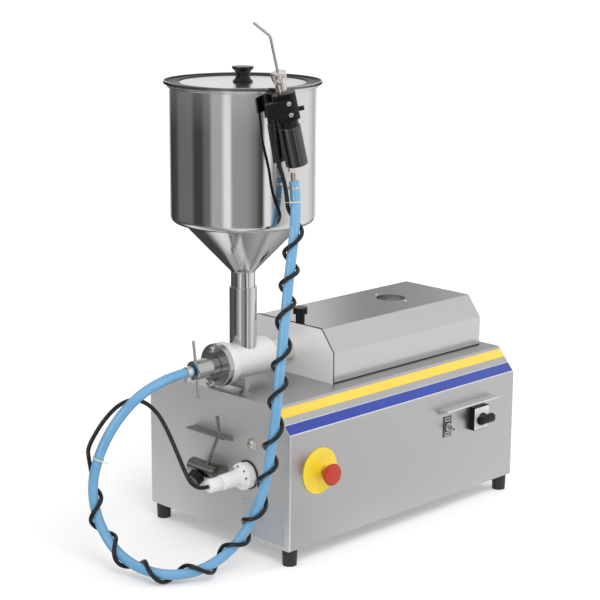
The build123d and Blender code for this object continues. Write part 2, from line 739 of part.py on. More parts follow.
with BuildPart() as pump_flange:
    with BuildSketch(across(BODY_START - FLANGE_T)):
        Circle(FLANGE_R)
    extrude(amount=FLANGE_T)
    fillet(pump_flange.edges().sort_by(Axis.X)[0], FLANGE_T / 5)
    with BuildSketch(across(BODY_START - FLANGE_T)):
        Circle(SPIGOT_R)
    extrude(amount=-SPIGOT_L)
    with BuildSketch(across(BODY_START)):
        Circle(OUTLET_R)
    extrude(amount=-FLANGE_T - SPIGOT_L, mode=Mode.SUBTRACT)
    with BuildSketch(across(BODY_START)):
        with PolarLocations(STUD_RING_R, 2, start_angle=90):
            Circle(STUD_R + SNUG)
    extrude(amount=-FLANGE_T, mode=Mode.SUBTRACT)

with BuildPart() as flange_nuts:
    with BuildSketch(across(BODY_START - FLANGE_T)):
        with PolarLocations(STUD_RING_R, 2, start_angle=90):
            RegularPolygon(NUT_R, 6)
    extrude(amount=-NUT_T)
    with BuildSketch(across(BODY_START - FLANGE_T - NUT_T)):
        with PolarLocations(STUD_RING_R, 2, start_angle=90):
            Circle(NUT_DOME_R)
    extrude(amount=-NUT_DOME_T)
    fillet(flange_nuts.faces().group_by(Axis.X)[0].edges(), NUT_DOME_ROUND)
    with BuildSketch(across(BODY_START - FLANGE_T)):
        with PolarLocations(STUD_RING_R, 2, start_angle=90):
            Circle(STUD_R)
    extrude(amount=FLANGE_T + BODY_FLANGE_T)

barb_seat = BODY_START - FLANGE_T - SPIGOT_L
with BuildPart() as hose_barb:
    with BuildSketch(across(barb_seat)):
        Circle(SPIGOT_R)
    extrude(amount=-BARB_COLLAR_T)
    with BuildSketch(across(barb_seat)):
        Circle(BARB_R)
    extrude(amount=-BARB_COLLAR_T - UNION_WALL - BARB_L)
    with BuildSketch(across(barb_seat)):
        Circle(BARB_BORE_R)
    extrude(amount=-BARB_COLLAR_T - UNION_WALL - BARB_L, mode=Mode.SUBTRACT)

tommy_way = Vector(0, 0, 1).rotate(Axis.X, -TOMMY_TILT)
tommy_planes = []
for way in (tommy_way, tommy_way * -1):
    tommy_planes.append(Plane(origin=across(TOMMY_X).origin, x_dir=(1, 0, 0), z_dir=way))

union_length = BODY_START - FLANGE_T - FIT - UNION_START
with BuildPart() as union_nut:
    with BuildSketch(across(UNION_START)):
        Circle(UNION_R)
    extrude(amount=union_length)
    chamfer(union_nut.edges(), SHEET)
    with BuildSketch(across(UNION_START + UNION_WALL)):
        Circle(SPIGOT_R + 2 * FIT)
    extrude(amount=union_length - UNION_WALL, mode=Mode.SUBTRACT)
    with BuildSketch(across(UNION_START)):
        Circle(BARB_R + 2 * FIT)
    extrude(amount=UNION_WALL, mode=Mode.SUBTRACT)
    for bar in tommy_planes:
        with BuildSketch(bar.offset(TOMMY_SEAT)):
            Circle(TOMMY_R + SNUG)
        extrude(amount=UNION_R, mode=Mode.SUBTRACT)

with BuildPart() as tommy_bars:
    for bar in tommy_planes:
        with BuildSketch(bar.offset(TOMMY_SEAT)):
            Circle(TOMMY_R)
        extrude(amount=TOMMY_REACH - TOMMY_SEAT)
    tips = tommy_bars.edges().sort_by(Axis.Z)
    fillet([tips[0], tips[-1]], TOMMY_ROUND)

with BuildPart() as inlet_sleeve:
    with BuildSketch(hopper_floor.offset(PUMP_Z)):
        Circle(SLEEVE_R)
        Circle(INLET_R, mode=Mode.SUBTRACT)
    extrude(amount=TOP_Z + SLEEVE_TOP - PUMP_Z)
    with BuildSketch(hopper_floor.offset(LEDGE_Z)):
        Circle(HOPPER_NECK_R + FIT)
    extrude(amount=TOP_Z + SLEEVE_TOP - LEDGE_Z, mode=Mode.SUBTRACT)
    with BuildSketch(across(BODY_START)):
        Circle(PUMP_R)
    extrude(amount=PUMP_LENGTH, mode=Mode.SUBTRACT)

with BuildPart() as pump_yoke:
    with BuildSketch(across(YOKE_X - YOKE_T / 2)):
        with Locations((0, -(YOKE_BAR_LOW + YOKE_BAR_HIGH) / 2)):
            Rectangle(2 * YOKE_SPREAD + 2 * YOKE_POST_R, YOKE_BAR_LOW - YOKE_BAR_HIGH)
    extrude(amount=YOKE_T)
    with BuildSketch(Plane((END_X + YOKE_X, MID_Y, TOP_Z))):
        with GridLocations(0, 2 * YOKE_SPREAD, 1, 2):
            Circle(YOKE_POST_R)
    extrude(amount=PUMP_H - YOKE_BAR_HIGH + SHEET)
    with BuildSketch(Plane((END_X + YOKE_X, MID_Y, TOP_Z))):
        with GridLocations(0, 2 * YOKE_SPREAD, 1, 2):
            Circle(2 * YOKE_POST_R)
    extrude(amount=2 * SHEET)
    with BuildSketch(across(BODY_START)):
        Circle(PUMP_R + SNUG)
    extrude(amount=PUMP_LENGTH, mode=Mode.SUBTRACT)

neck_length = BULKHEAD_X + SHEET + NECK_TAIL - PUMP_END
with BuildPart() as pump_neck:
    with BuildSketch(across(PUMP_END)):
        Circle(NECK_R)
    extrude(amount=neck_length)
    with BuildSketch(across(BULKHEAD_X)):
        Circle(NECK_COLLAR_R)
    extrude(amount=-NECK_COLLAR_T)
    with BuildSketch(across(PUMP_END)):
        Circle(NECK_BORE_R)
    extrude(amount=neck_length, mode=Mode.SUBTRACT)

with BuildPart() as shaft_seal:
    with BuildSketch(across(PUMP_END)):
        Circle(NECK_BORE_R - SNUG)
        Circle(SHAFT_R + SNUG, mode=Mode.SUBTRACT)
    extrude(amount=SEAL_W)

with BuildPart() as shaft_bearings:
    for start in (PUMP_END + 2 * SEAL_W, PUMP_END + neck_length - BEARING_W):
        with BuildSketch(across(start)):
            Circle(NECK_BORE_R - SNUG)
            Circle(SHAFT_R + SNUG, mode=Mode.SUBTRACT)
        extrude(amount=BEARING_W)

screw_start = BODY_START + SCREW_GAP
screw_length = SCREW_BORE_L - 2 * SCREW_GAP
screw_radius = SCREW_BORE_R - SCREW_GAP
with BuildSketch(across(screw_start)) as screw_section:
    Circle(SCREW_HUB_R)
    with Locations((0, screw_radius / 2)):
        Rectangle(SCREW_FLIGHT_T, screw_radius)
    with Locations((0, -screw_radius / 2)):
        Rectangle(SCREW_FLIGHT_T, screw_radius)
    Circle(screw_radius, mode=Mode.INTERSECT)
screw_blank = Solid.extrude_linear_with_rotation(
    screw_section.sketch.face(),
    center=across(screw_start).origin,
    normal=Vector(screw_length, 0, 0),
    angle=SCREW_TURN,
)
with BuildPart() as feed_screw:
    add(screw_blank)
    with BuildSketch(across(screw_start + screw_length)):
        Circle(SHAFT_R + SNUG)
    extrude(amount=-SHAFT_GRIP, mode=Mode.SUBTRACT)

shaft_start = screw_start + screw_length - SHAFT_GRIP
with BuildPart() as pump_shaft:
    with BuildSketch(across(shaft_start)):
        Circle(SHAFT_R)
    extrude(amount=GEARBOX_X + GEARBOX_SEAT - SHEET - shaft_start)

with BuildPart() as gearbox:
    with BuildSketch(across(GEARBOX_X)):
        RectangleRounded(GEARBOX_SIZE, GEARBOX_SIZE, GEARBOX_SIZE / 10)
    extrude(amount=GEARBOX_L)
    with BuildSketch(Plane((END_X + GEARBOX_X + GEARBOX_L / 2, MID_Y, TOP_Z))):
        Rectangle(GEARBOX_L, GEARBOX_FOOT_W)
    extrude(amount=PUMP_H - GEARBOX_SIZE / 2 + GEARBOX_SIZE / 10)
    with BuildSketch(across(GEARBOX_X)):
        Circle(SHAFT_R + SNUG)
    extrude(amount=GEARBOX_SEAT, mode=Mode.SUBTRACT)

with BuildPart() as motor:
    with BuildSketch(across(GEARBOX_X + GEARBOX_L)):
        Circle(MOTOR_R)
    extrude(amount=MOTOR_L)
    fillet(motor.edges().sort_by(Axis.X)[-1], MOTOR_R / 6)
    with BuildSketch(across(GEARBOX_X + GEARBOX_L + MOTOR_L / 6)):
        with PolarLocations(MOTOR_R, MOTOR_RIBS):
            Rectangle(2 * MOTOR_RIB_DEPTH, MOTOR_RIB_DEPTH)
    extrude(amount=MOTOR_L / 2, mode=Mode.SUBTRACT)

# Hopper with its lid
cone_z = TOP_Z + CONE_FOOT
ridge_z = cone_z + CONE_HEIGHT
corner_z = ridge_z + KNUCKLE_HEIGHT
wall_z = corner_z + KNUCKLE_R
with BuildPart() as hopper_neck:
    with BuildSketch(hopper_floor.offset(LEDGE_Z)):
        Circle(HOPPER_NECK_R)
        Circle(HOPPER_NECK_R - HOPPER_SHEET, mode=Mode.SUBTRACT)
    extrude(amount=cone_z - LEDGE_Z)

with BuildPart() as hopper_cone:
    with BuildSketch(hopper_side):
        with BuildLine():
            Polyline((HOPPER_NECK_R, LEDGE_Z), (HOPPER_NECK_R, cone_z), (CONE_TOP_R, ridge_z))
            FilletPolyline((CONE_TOP_R, ridge_z), (HOPPER_R, corner_z), (HOPPER_R, wall_z), radius=KNUCKLE_R)
            offset(amount=HOPPER_SHEET, side=Side.LEFT)
        make_face()
    revolve(axis=hopper_axis)
    with BuildSketch(hopper_floor.offset(LEDGE_Z)):
        Circle(HOPPER_NECK_R)
    extrude(amount=cone_z - LEDGE_Z, mode=Mode.SUBTRACT)

with BuildPart() as hopper_shell:
    with BuildSketch(hopper_side):
        with Locations((HOPPER_R - HOPPER_SHEET / 2, (wall_z + BEAD_Z) / 2)):
            Rectangle(HOPPER_SHEET, BEAD_Z - wall_z)
        with Locations((HOPPER_R + BEAD_R - HOPPER_SHEET / 2, BEAD_Z)):
            Circle(BEAD_R)
    revolve(axis=hopper_axis)

with BuildPart() as hopper_lid:
    with BuildSketch(hopper_floor.offset(LID_Z)):
        Circle(LID_R)
    extrude(amount=LID_SHEET)
    with BuildSketch(hopper_floor.offset(LID_Z)):
        Circle(LID_R)
        Circle(LID_R - LID_SHEET, mode=Mode.SUBTRACT)
    extrude(amount=LID_LIP)
    with BuildSketch(hopper_floor.offset(LID_Z)):
        Circle(LID_SPIGOT_R)
        Circle(LID_SPIGOT_R - LID_SHEET, mode=Mode.SUBTRACT)
    extrude(amount=-LID_SPIGOT_H)

knob_z = LID_Z + LID_SHEET
with BuildPart() as lid_knob:
    with BuildSketch(hopper_side):
        with BuildLine():
            Polyline(
                (0, knob_z + LID_KNOB_H),
                (0, knob_z),
                (LID_KNOB_BASE_R, knob_z),
                (LID_KNOB_BASE_R, knob_z + LID_KNOB_BASE_H),
            )
            Spline(
                (LID_KNOB_BASE_R, knob_z + LID_KNOB_BASE_H),
                (LID_KNOB_WAIST_R, knob_z + LID_KNOB_WAIST_H),
                (LID_KNOB_R, knob_z + LID_KNOB_HEAD_H),
            )
            Polyline(
                (LID_KNOB_R, knob_z + LID_KNOB_HEAD_H),
                (LID_KNOB_R, knob_z + LID_KNOB_H),
                (0, knob_z + LID_KNOB_H),
            )
        make_face()
    revolve(axis=hopper_axis)

# Filling gun
with BuildPart() as gun_grip:
    with BuildSketch(gun):
        Circle(GRIP_R)
    extrude(amount=GRIP_L)
    fillet(gun_grip.edges().filter_by(GeomType.CIRCLE), GRIP_R / 10)

head_middle = ((HEAD_FRONT - HEAD_BACK) / 2, (HEAD_RIGHT - HEAD_LEFT) / 2)
trigger_wall = Plane(
    origin=gun.from_local_coords(Vector(0, HEAD_RIGHT, HEAD_LOW + TRIGGER_UP)),
    x_dir=gun.z_dir,
    z_dir=gun.y_dir,
)
with BuildPart() as gun_head:
    with BuildSketch(gun.offset(GRIP_L)):
        Circle(GUN_COLLAR_R)
    extrude(amount=GUN_COLLAR_L)
    with BuildSketch(gun.offset(HEAD_LOW)):
        with Locations(head_middle):
            RectangleRounded(HEAD_FRONT + HEAD_BACK, HEAD_LEFT + HEAD_RIGHT, HEAD_ROUND)
    extrude(amount=HEAD_L)
    with BuildSketch(trigger_wall):
        Circle(TRIGGER_R + FIT)
    extrude(amount=-TRIGGER_IN - TRIGGER_TRAVEL - FIT, mode=Mode.SUBTRACT)

with BuildPart() as gun_trigger:
    with BuildSketch(trigger_wall.offset(-TRIGGER_IN)):
        Circle(TRIGGER_R)
    extrude(amount=TRIGGER_IN + TRIGGER_OUT)

block_face = Plane(origin=gun.from_local_coords(Vector(HEAD_FRONT, 0, 0)), x_dir=gun.y_dir, z_dir=gun.x_dir)
block_middle = ((BLOCK_RIGHT - BLOCK_LEFT) / 2, BLOCK_LOW + BLOCK_L / 2)
with BuildPart() as switch_block:
    with BuildSketch(block_face):
        with Locations(block_middle):
            RectangleRounded(BLOCK_LEFT + BLOCK_RIGHT, BLOCK_L, 2 * SHEET)
    extrude(amount=BLOCK_T)
    fillet(switch_block.faces().filter_by(block_face).sort_by(Axis(gun_foot, gun.x_dir))[-1].edges(), SHEET)

with BuildPart() as gun_neck:
    with BuildSketch(gun.offset(HEAD_TOP)):
        Circle(GUN_NECK_R)
        Circle(NOZZLE_BORE_R, mode=Mode.SUBTRACT)
    extrude(amount=GUN_NECK_L)

with BuildPart() as nozzle_nut:
    with BuildSketch(gun.offset(NUT_LOW)):
        Circle(NOZZLE_NUT_R)
    extrude(amount=NOZZLE_NUT_L)
    chamfer(nozzle_nut.edges().filter_by(GeomType.CIRCLE), SHEET)
    with BuildSketch(gun.offset(NUT_LOW)):
        Circle(NOZZLE_R + SNUG)
    extrude(amount=NOZZLE_NUT_L, mode=Mode.SUBTRACT)

tip_side = -NOZZLE_TIP * sin(radians(NOZZLE_BEND))
tip_up = NOZZLE_TIP * cos(radians(NOZZLE_BEND))
nozzle_points = []
for side, up in ((0, 0), (0, NOZZLE_RUN), (tip_side, NOZZLE_RUN + tip_up)):
    nozzle_points.append(gun.from_local_coords(Vector(0, side, NUT_LOW + up)))
with BuildPart() as nozzle_tube:
    with BuildLine():
        FilletPolyline(*nozzle_points, radius=NOZZLE_BEND_R)
    with BuildSketch(gun.offset(NUT_LOW)):
        Circle(NOZZLE_R)
        Circle(NOZZLE_BORE_R, mode=Mode.SUBTRACT)
    sweep()

fitting_floor = Plane(origin=fitting_top)
with BuildPart() as gun_fitting:
    with BuildSketch(fitting_floor.offset(FITTING_HEX_L)):
        RegularPolygon(FITTING_HEX_R, 6)
    extrude(amount=-2 * FITTING_HEX_L)
    with BuildSketch(fitting_floor):
        Circle(FITTING_NECK_R)
    extrude(amount=-2 * FITTING_HEX_L)
    with BuildSketch(fitting_floor):
        Circle(BARB_R)
    extrude(amount=-2 * FITTING_HEX_L - FITTING_BARB_L)
    split(bisect_by=gun, keep=Keep.BOTTOM)
    with BuildSketch(fitting_floor.offset(FITTING_HEX_L)):
        Circle(BARB_BORE_R)
    extrude(amount=-4 * FITTING_HEX_L - FITTING_BARB_L, mode=Mode.SUBTRACT)

hanger_face = Plane(
    origin=gun.from_local_coords(Vector(-HEAD_BACK, 0, HEAD_LOW + HANGER_UP)),
    x_dir=gun.y_dir * -1,
    z_dir=gun.x_dir * -1,
)
with BuildPart() as gun_hanger:
    with BuildSketch(hanger_face):
        Rectangle(HANGER_W, HANGER_H)
    extrude(amount=2 * GUN_STANDOFF)
    with BuildSketch(hopper_floor):
        Circle(HOPPER_R)
    extrude(amount=2 * TOP_Z + HOPPER_TOP, mode=Mode.SUBTRACT)

# End panel fittings
plug_axis = Plane(
    origin=end_wall.from_local_coords(Vector(-PLUG_Y, PLUG_Z, 0)), x_dir=(0, -1, 0), z_dir=(-1, 0, 0)
)
with BuildPart() as panel_socket:
    with BuildSketch(plug_axis):
        RegularPolygon(SOCKET_R, 8)
    extrude(amount=SOCKET_T)
    with BuildSketch(plug_axis):
        Circle(SOCKET_HOLE_R)
    extrude(amount=-SOCKET_BODY_L)

plug_body_start = SOCKET_T + PLUG_HEAD_T
plug_body_end = plug_body_start + PLUG_BODY_L
with BuildPart() as plug_body:
    with BuildSketch(plug_axis.offset(SOCKET_T)):
        RegularPolygon(PLUG_HEAD_R, 12)
    extrude(amount=PLUG_HEAD_T)
    with BuildSketch(plug_axis.offset(plug_body_start)):
        Circle(PLUG_BODY_R)
    extrude(amount=PLUG_BODY_L)

with BuildPart() as plug_gland_nut:
    with BuildSketch(plug_axis.offset(plug_body_end)):
        RegularPolygon(PLUG_GLAND_R, 8)
    extrude(amount=PLUG_GLAND_L)
    chamfer(plug_gland_nut.faces().sort_by(Axis.X)[0].edges(), SHEET)

lever_pivot = end_wall.from_local_coords(Vector(-LEVER_HUB_FROM, LEVER_Z, LEVER_X))
lever_axis = Plane(origin=lever_pivot, x_dir=(0, 0, 1), z_dir=(0, 1, 0))
with BuildPart() as lever_bracket:
    with BuildSketch(lever_axis):
        Circle(LEVER_COLLAR_R)
    extrude(amount=-LEVER_COLLAR_L)
    with BuildSketch(lever_axis):
        Circle(LEVER_PIN_R)
    extrude(amount=LEVER_HUB_L + SHEET)
    with BuildSketch(end_wall):
        with Locations((-LEVER_HUB_FROM + LEVER_COLLAR_L / 2, LEVER_Z)):
            Rectangle(LEVER_COLLAR_L, LEVER_FOOT_W)
    extrude(amount=LEVER_X)

clamp_way = Vector(-1, 0, 0).rotate(Axis.Y, -CLAMP_KNOB_DIP)
clamp_plane = Plane(
    origin=lever_pivot + Vector(0, CLAMP_KNOB_Y, 0), x_dir=(0, 1, 0), z_dir=clamp_way
)

rod_points = []
for y, z, out in (
    (LEVER_HUB_FROM + 2 * LEVER_ROD_R, LEVER_Z, LEVER_X),
    (LEVER_HUB_FROM + 2 * LEVER_ROD_R, LEVER_Z + 2 * LEVER_ROD_OUT, LEVER_X + LEVER_ROD_OUT),
    (LEVER_HUB_FROM - LEVER_ROD_BEND, LEVER_Z + LEVER_ROD_MID, LEVER_X + LEVER_ROD_OUT),
    (LEVER_HUB_FROM - LEVER_ROD_BEND + LEVER_ROD_OUT, LEVER_Z + LEVER_ROD_TIP, LEVER_X + LEVER_ROD_OUT),
):
    rod_points.append(end_wall.from_local_coords(Vector(-y, z, out)))
with BuildPart() as dosing_lever:
    with BuildLine() as rod_route:
        FilletPolyline(*rod_points, radius=2 * LEVER_ROD_R)
    with BuildSketch(Plane(origin=rod_route.line @ 0, z_dir=rod_route.line % 0)):
        Circle(LEVER_ROD_R)
    sweep()
    with BuildSketch(lever_axis.offset(FIT)):
        Circle(LEVER_HUB_R)
    extrude(amount=LEVER_HUB_L - FIT)
    with BuildSketch(lever_axis):
        Circle(LEVER_PIN_R + SNUG)
    extrude(amount=LEVER_HUB_L, mode=Mode.SUBTRACT)
    with BuildSketch(clamp_plane.offset(LEVER_HUB_R - CLAMP_STUD_SEAT)):
        Circle(CLAMP_STUD_R + SNUG)
    extrude(amount=LEVER_HUB_R, mode=Mode.SUBTRACT)

with BuildPart() as clamp_knob:
    with BuildSketch(clamp_plane.offset(LEVER_HUB_R + CLAMP_STUD_GAP)):
        fluted_outline(CLAMP_KNOB_R)
    extrude(amount=CLAMP_KNOB_T)
    with BuildSketch(clamp_plane.offset(LEVER_HUB_R - CLAMP_STUD_SEAT)):
        Circle(CLAMP_STUD_R)
    extrude(amount=CLAMP_STUD_SEAT + CLAMP_STUD_GAP)

# Hose, from the pump's barb along the floor and up to the gun
hose_start = across(UNION_START - HOSE_FROM_NUT).origin
hose_end = fitting_top - Vector(0, 0, 2 * FITTING_HEX_L + HOSE_FROM_HEX)
hose_points = [
    tuple(hose_start),
    tuple(hose_start - Vector(4 * LEAD, 0, 0)),
    (-471, 15, 331),
    (-516, 35, 283),
    (-543, 55, 223),
    (-552, 63, 155),
    (-545, 48, 89),
    (-526, 8, 35),
    (-497, -52, 18),
    (-446, -100, 18.5),
    (-393, -131, 48),
    (-362, -159, 103),
    (-348, -178, 167),
    (-342, -190, 234),
    (-336, -197, 301),
    (-329, -198, 369),
    (-315, -191, 435),
    (-300, -184, 501),
    (-284, -177, 566),
    (-266, -170, 631),
    tuple(hose_end - Vector(0, 0, 3 * LEAD)),
    tuple(hose_end),
]
hose_radii = route_radii(hose_points)
print("hose radii", [round(r) for r in hose_radii])
with BuildPart() as hose:
    with BuildLine() as hose_route:
        FilletPolyline(*hose_points, radius=hose_radii)
    with BuildSketch(Plane(origin=hose_route.line @ 0, z_dir=hose_route.line % 0)):
        Circle(HOSE_R)
        Circle(HOSE_BORE_R, mode=Mode.SUBTRACT)
    sweep()
hose_wire = hose_route.wire()
hose_section = pi * (HOSE_R**2 - HOSE_BORE_R**2)
print("hose length", hose_wire.length, "volume ratio", hose.part.volume / hose_section / hose_wire.length)

with BuildPart() as hose_clamps:
    with BuildSketch(Plane(origin=hose_wire @ 0, z_dir=hose_wire % 0).offset(CLAMP_W / 2)):
        Circle(HOSE_R + SNUG + CLAMP_T)
        with Locations((0, -HOSE_R - CLAMP_SCREW / 2)):
            Rectangle(CLAMP_SCREW, CLAMP_SCREW)
        Circle(HOSE_R + SNUG, mode=Mode.SUBTRACT)
    extrude(amount=CLAMP_W)
    with BuildSketch(Plane(origin=hose_wire @ 1, z_dir=(hose_wire % 1) * -1).offset(CLAMP_W)):
        Circle(HOSE_R + SNUG + CLAMP_T)
        Circle(HOSE_R + SNUG, mode=Mode.SUBTRACT)
    extrude(amount=CLAMP_W / 2)

# Control cable wound round the hose. Each mark is a length of hose from the gun, where a turn
# crosses the side towards the front left
turn_marks = [20.7, 118, 178, 237, 325, 384, 475, 539, 634, 695, 783, 870, 959, 1049, 1127]
front_left = Vector(-0.69, -0.69, 0.22)
wind_radius = HOSE_R + WIND_GAP + CABLE_R


def wound(turns):
    # Point on the winding after a number of turns from the first mark
    whole = min(int(turns), len(turn_marks) - 2)
    run = turn_marks[whole] + (turns - whole) * (turn_marks[whole + 1] - turn_marks[whole])
    share = 1 - run / hose_wire.length
    way = (hose_wire % share) * -1
    front = (front_left - way * front_left.dot(way)).normalized()
    angle = 2 * pi * turns
    return hose_wire @ share + (front * cos(angle) + way.cross(front) * sin(angle)) * wind_radius


def wound_way(turns):
    step = 0.004
    return (wound(turns + step) - wound(turns - step)).normalized()


def joint_of(start, way_in, end, way_out):
    # Where the two arcs of a biarc meet
    chord = end - start
    both = way_in + way_out
    spread = 2 * (1 - way_in.dot(way_out))
    along = chord.dot(both)
    reach = (sqrt(along**2 + spread * chord.dot(chord)) - along) / spread
    return (start + end + (way_in - way_out) * reach) / 2


quarters = round(4 * (LAST_TURN - FIRST_TURN))
stops = [FIRST_TURN + step / 4 for step in range(quarters + 1)]
lead_in = wound(stops[0]) - wound_way(stops[0]) * 2 * CABLE_R
lead_out = wound(stops[-1]) + wound_way(stops[-1]) * 2 * CABLE_R
with BuildPart() as cable_winding:
    with BuildLine() as winding_route:
        Line(lead_in, wound(stops[0]))
        for first, second in zip(stops, stops[1:]):
            start = wound(first)
            end = wound(second)
            middle = joint_of(start, wound_way(first), end, wound_way(second))
            TangentArc(start, middle, tangent=wound_way(first))
            TangentArc(middle, end, tangent=wound_way(second) * -1, tangent_from_first=False)
        Line(wound(stops[-1]), lead_out)
    with BuildSketch(Plane(origin=lead_in, z_dir=wound_way(stops[0]))):
        Circle(CABLE_R)
    sweep()
winding_wire = winding_route.wire()
cable_section = pi * CABLE_R**2
print("winding length", winding_wire.length)
print("volume ratio", cable_winding.part.volume / cable_section / winding_wire.length)
samples = 600
winding_points = [winding_wire @ (step / samples) for step in range(samples + 1)]
apart = round(samples * 30 / winding_wire.length)
gaps = []
for index, point in enumerate(winding_points):
    for other in winding_points[index + apart:]:
        gaps.append((other - point).length - 2 * CABLE_R)
print("winding self gap", min(gaps), "lowest", min(point.Z for point in winding_points) - CABLE_R)

# Free stretches of the cable, from the gun's switch block and on to the plug
block_exit = gun.from_local_coords(Vector(HEAD_FRONT + BLOCK_T / 2, BLOCK_CABLE_IN - BLOCK_LEFT, BLOCK_LOW))
upper_points = [
    tuple(block_exit),
    tuple(block_exit - gun_axis * 2 * LEAD),
    (-299, -155, 803),
    (-287, -153.5, 772),
    (-276, -156, 741),
    tuple(lead_in - wound_way(stops[0]) * 2 * LEAD),
    tuple(lead_in),
]
gland_end = plug_axis.from_local_coords(Vector(0, 0, plug_body_end + PLUG_GLAND_L))
lower_points = [
    tuple(lead_out),
    tuple(lead_out + wound_way(stops[-1]) * 1.5 * LEAD),
    (-545, 88, 229),
    (-528, 86, 255),
    (-508, 81, 281),
    (-485, 72, 304),
    (-462, 60, 315),
    (-441, 44, 309),
    (-427, 25, 289),
    (-423, 4, 262),
    (-425.5, -22, 232),
    (-428, -47, 200),
    (-428.1, -65.7, 175.9),
    (-420.6, -73.5, 165.5),
    (-407.6, -78, 159.5),
    tuple(gland_end),
]


def cable_run(points):
    radii = route_radii(points)
    print("cable radii", [round(r) for r in radii])
    with BuildPart() as run:
        with BuildLine() as route:
            FilletPolyline(*points, radius=radii)
        with BuildSketch(Plane(origin=route.line @ 0, z_dir=route.line % 0)):
            Circle(CABLE_R)
        sweep()
    length = route.wire().length
    print("length", length, "volume ratio", run.part.volume / cable_section / length)
    return run


cable_runs = [cable_run(upper_points), cable_run(lower_points)]
with BuildPart() as cable_ends:
    for run in cable_runs:
        add(run.part)

pieces = {
    "base_housing": base_housing,
    "end_panel_left": end_panel_left,
    "end_panel_right": end_panel_right,
    "base_plate": base_plate,
    "rubber_feet": rubber_feet,
    "mains_gland": mains_gland,
    "motor_drive": motor_drive,
    "estop_disc": estop_disc,
    "estop_collar": estop_collar,
    "estop_button": estop_button,
    "toggle_switch": toggle_switch,
    "toggle_lever": toggle_lever,
    "main_switch_base": main_switch_base,
    "main_switch_knob": main_switch_knob,
    "cover_bulkhead": cover_bulkhead,
    "gable_cover": gable_cover,
    "cover_gasket": cover_gasket,
    "cover_grip_cup": cover_grip_cup,
    "cover_knob": cover_knob,
    "pump_body": pump_body,
    "pump_flange": pump_flange,
    "flange_nuts": flange_nuts,
    "hose_barb": hose_barb,
    "union_nut": union_nut,
    "tommy_bars": tommy_bars,
    "inlet_sleeve": inlet_sleeve,
    "pump_yoke": pump_yoke,
    "pump_neck": pump_neck,
    "shaft_seal": shaft_seal,
    "shaft_bearings": shaft_bearings,
    "feed_screw": feed_screw,
    "pump_shaft": pump_shaft,
    "gearbox": gearbox,
    "motor": motor,
    "hopper_neck": hopper_neck,
    "hopper_cone": hopper_cone,
    "hopper_shell": hopper_shell,
    "hopper_lid": hopper_lid,
    "lid_knob": lid_knob,
    "gun_grip": gun_grip,
    "gun_head": gun_head,
    "gun_trigger": gun_trigger,
    "switch_block": switch_block,
    "gun_neck": gun_neck,
    "nozzle_nut": nozzle_nut,
    "nozzle_tube": nozzle_tube,
    "gun_fitting": gun_fitting,
    "gun_hanger": gun_hanger,
    "panel_socket": panel_socket,
    "plug_body": plug_body,
    "plug_gland_nut": plug_gland_nut,
    "lever_bracket": lever_bracket,
    "dosing_lever": dosing_lever,
    "clamp_knob": clamp_knob,
    "hose": hose,
    "hose_clamps": hose_clamps,
    "cable_winding": cable_winding,
    "control_hood": control_hood,
    "end_hood": end_hood,
    "cable_ends": cable_ends,
}
os.makedirs("parts", exist_ok=True)
for name, piece in pieces.items():
    piece.part.label = name
    export_step(piece.part, f"parts/{name}.step")
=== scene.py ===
import math

import bpy
from mathutils import Matrix, Vector


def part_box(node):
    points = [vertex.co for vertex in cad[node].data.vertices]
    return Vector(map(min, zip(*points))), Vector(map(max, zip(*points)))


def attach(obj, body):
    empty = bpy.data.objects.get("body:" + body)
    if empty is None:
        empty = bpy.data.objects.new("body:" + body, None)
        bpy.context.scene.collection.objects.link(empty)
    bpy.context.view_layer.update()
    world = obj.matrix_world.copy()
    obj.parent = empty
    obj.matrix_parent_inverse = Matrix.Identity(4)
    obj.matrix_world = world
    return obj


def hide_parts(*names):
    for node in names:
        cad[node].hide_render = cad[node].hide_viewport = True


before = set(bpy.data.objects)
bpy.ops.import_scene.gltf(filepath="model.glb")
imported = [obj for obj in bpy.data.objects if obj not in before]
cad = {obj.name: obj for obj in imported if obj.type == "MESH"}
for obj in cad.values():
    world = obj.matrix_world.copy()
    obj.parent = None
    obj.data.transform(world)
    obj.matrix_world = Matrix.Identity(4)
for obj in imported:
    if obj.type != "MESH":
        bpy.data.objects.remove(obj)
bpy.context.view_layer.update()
print("frame loaded:", len(cad), "nodes")

# Camera, solved from the cabinet's straight edges
view = {
    "place": (-2.4290, -2.3584, 1.2281),
    "turn": 0.7845,
    "tilt": 0.2282,
    "roll": 0.00614,
    "lens": 103.16,
}


def addCamera():
    turn, tilt, roll = view["turn"], view["tilt"], view["roll"]
    ahead = Vector((math.sin(turn) * math.cos(tilt), math.cos(turn) * math.cos(tilt), -math.sin(tilt)))
    level = Vector((math.cos(turn), -math.sin(turn), 0))
    upward = level.cross(ahead)
    right = level * math.cos(roll) + upward * math.sin(roll)
    top = upward * math.cos(roll) - level * math.sin(roll)
    camera = bpy.data.objects.new("photoCamera", bpy.data.cameras.new("photoCamera"))
    camera.data.lens = view["lens"]
    camera.matrix_world = Matrix((
        (right.x, top.x, -ahead.x, view["place"][0]),
        (right.y, top.y, -ahead.y, view["place"][1]),
        (right.z, top.z, -ahead.z, view["place"][2]),
        (0, 0, 0, 1),
    ))
    bpy.context.scene.collection.objects.link(camera)
    bpy.context.scene.camera = camera


addCamera()
print("camera set")


def grey(level):
    return (level, level, level)


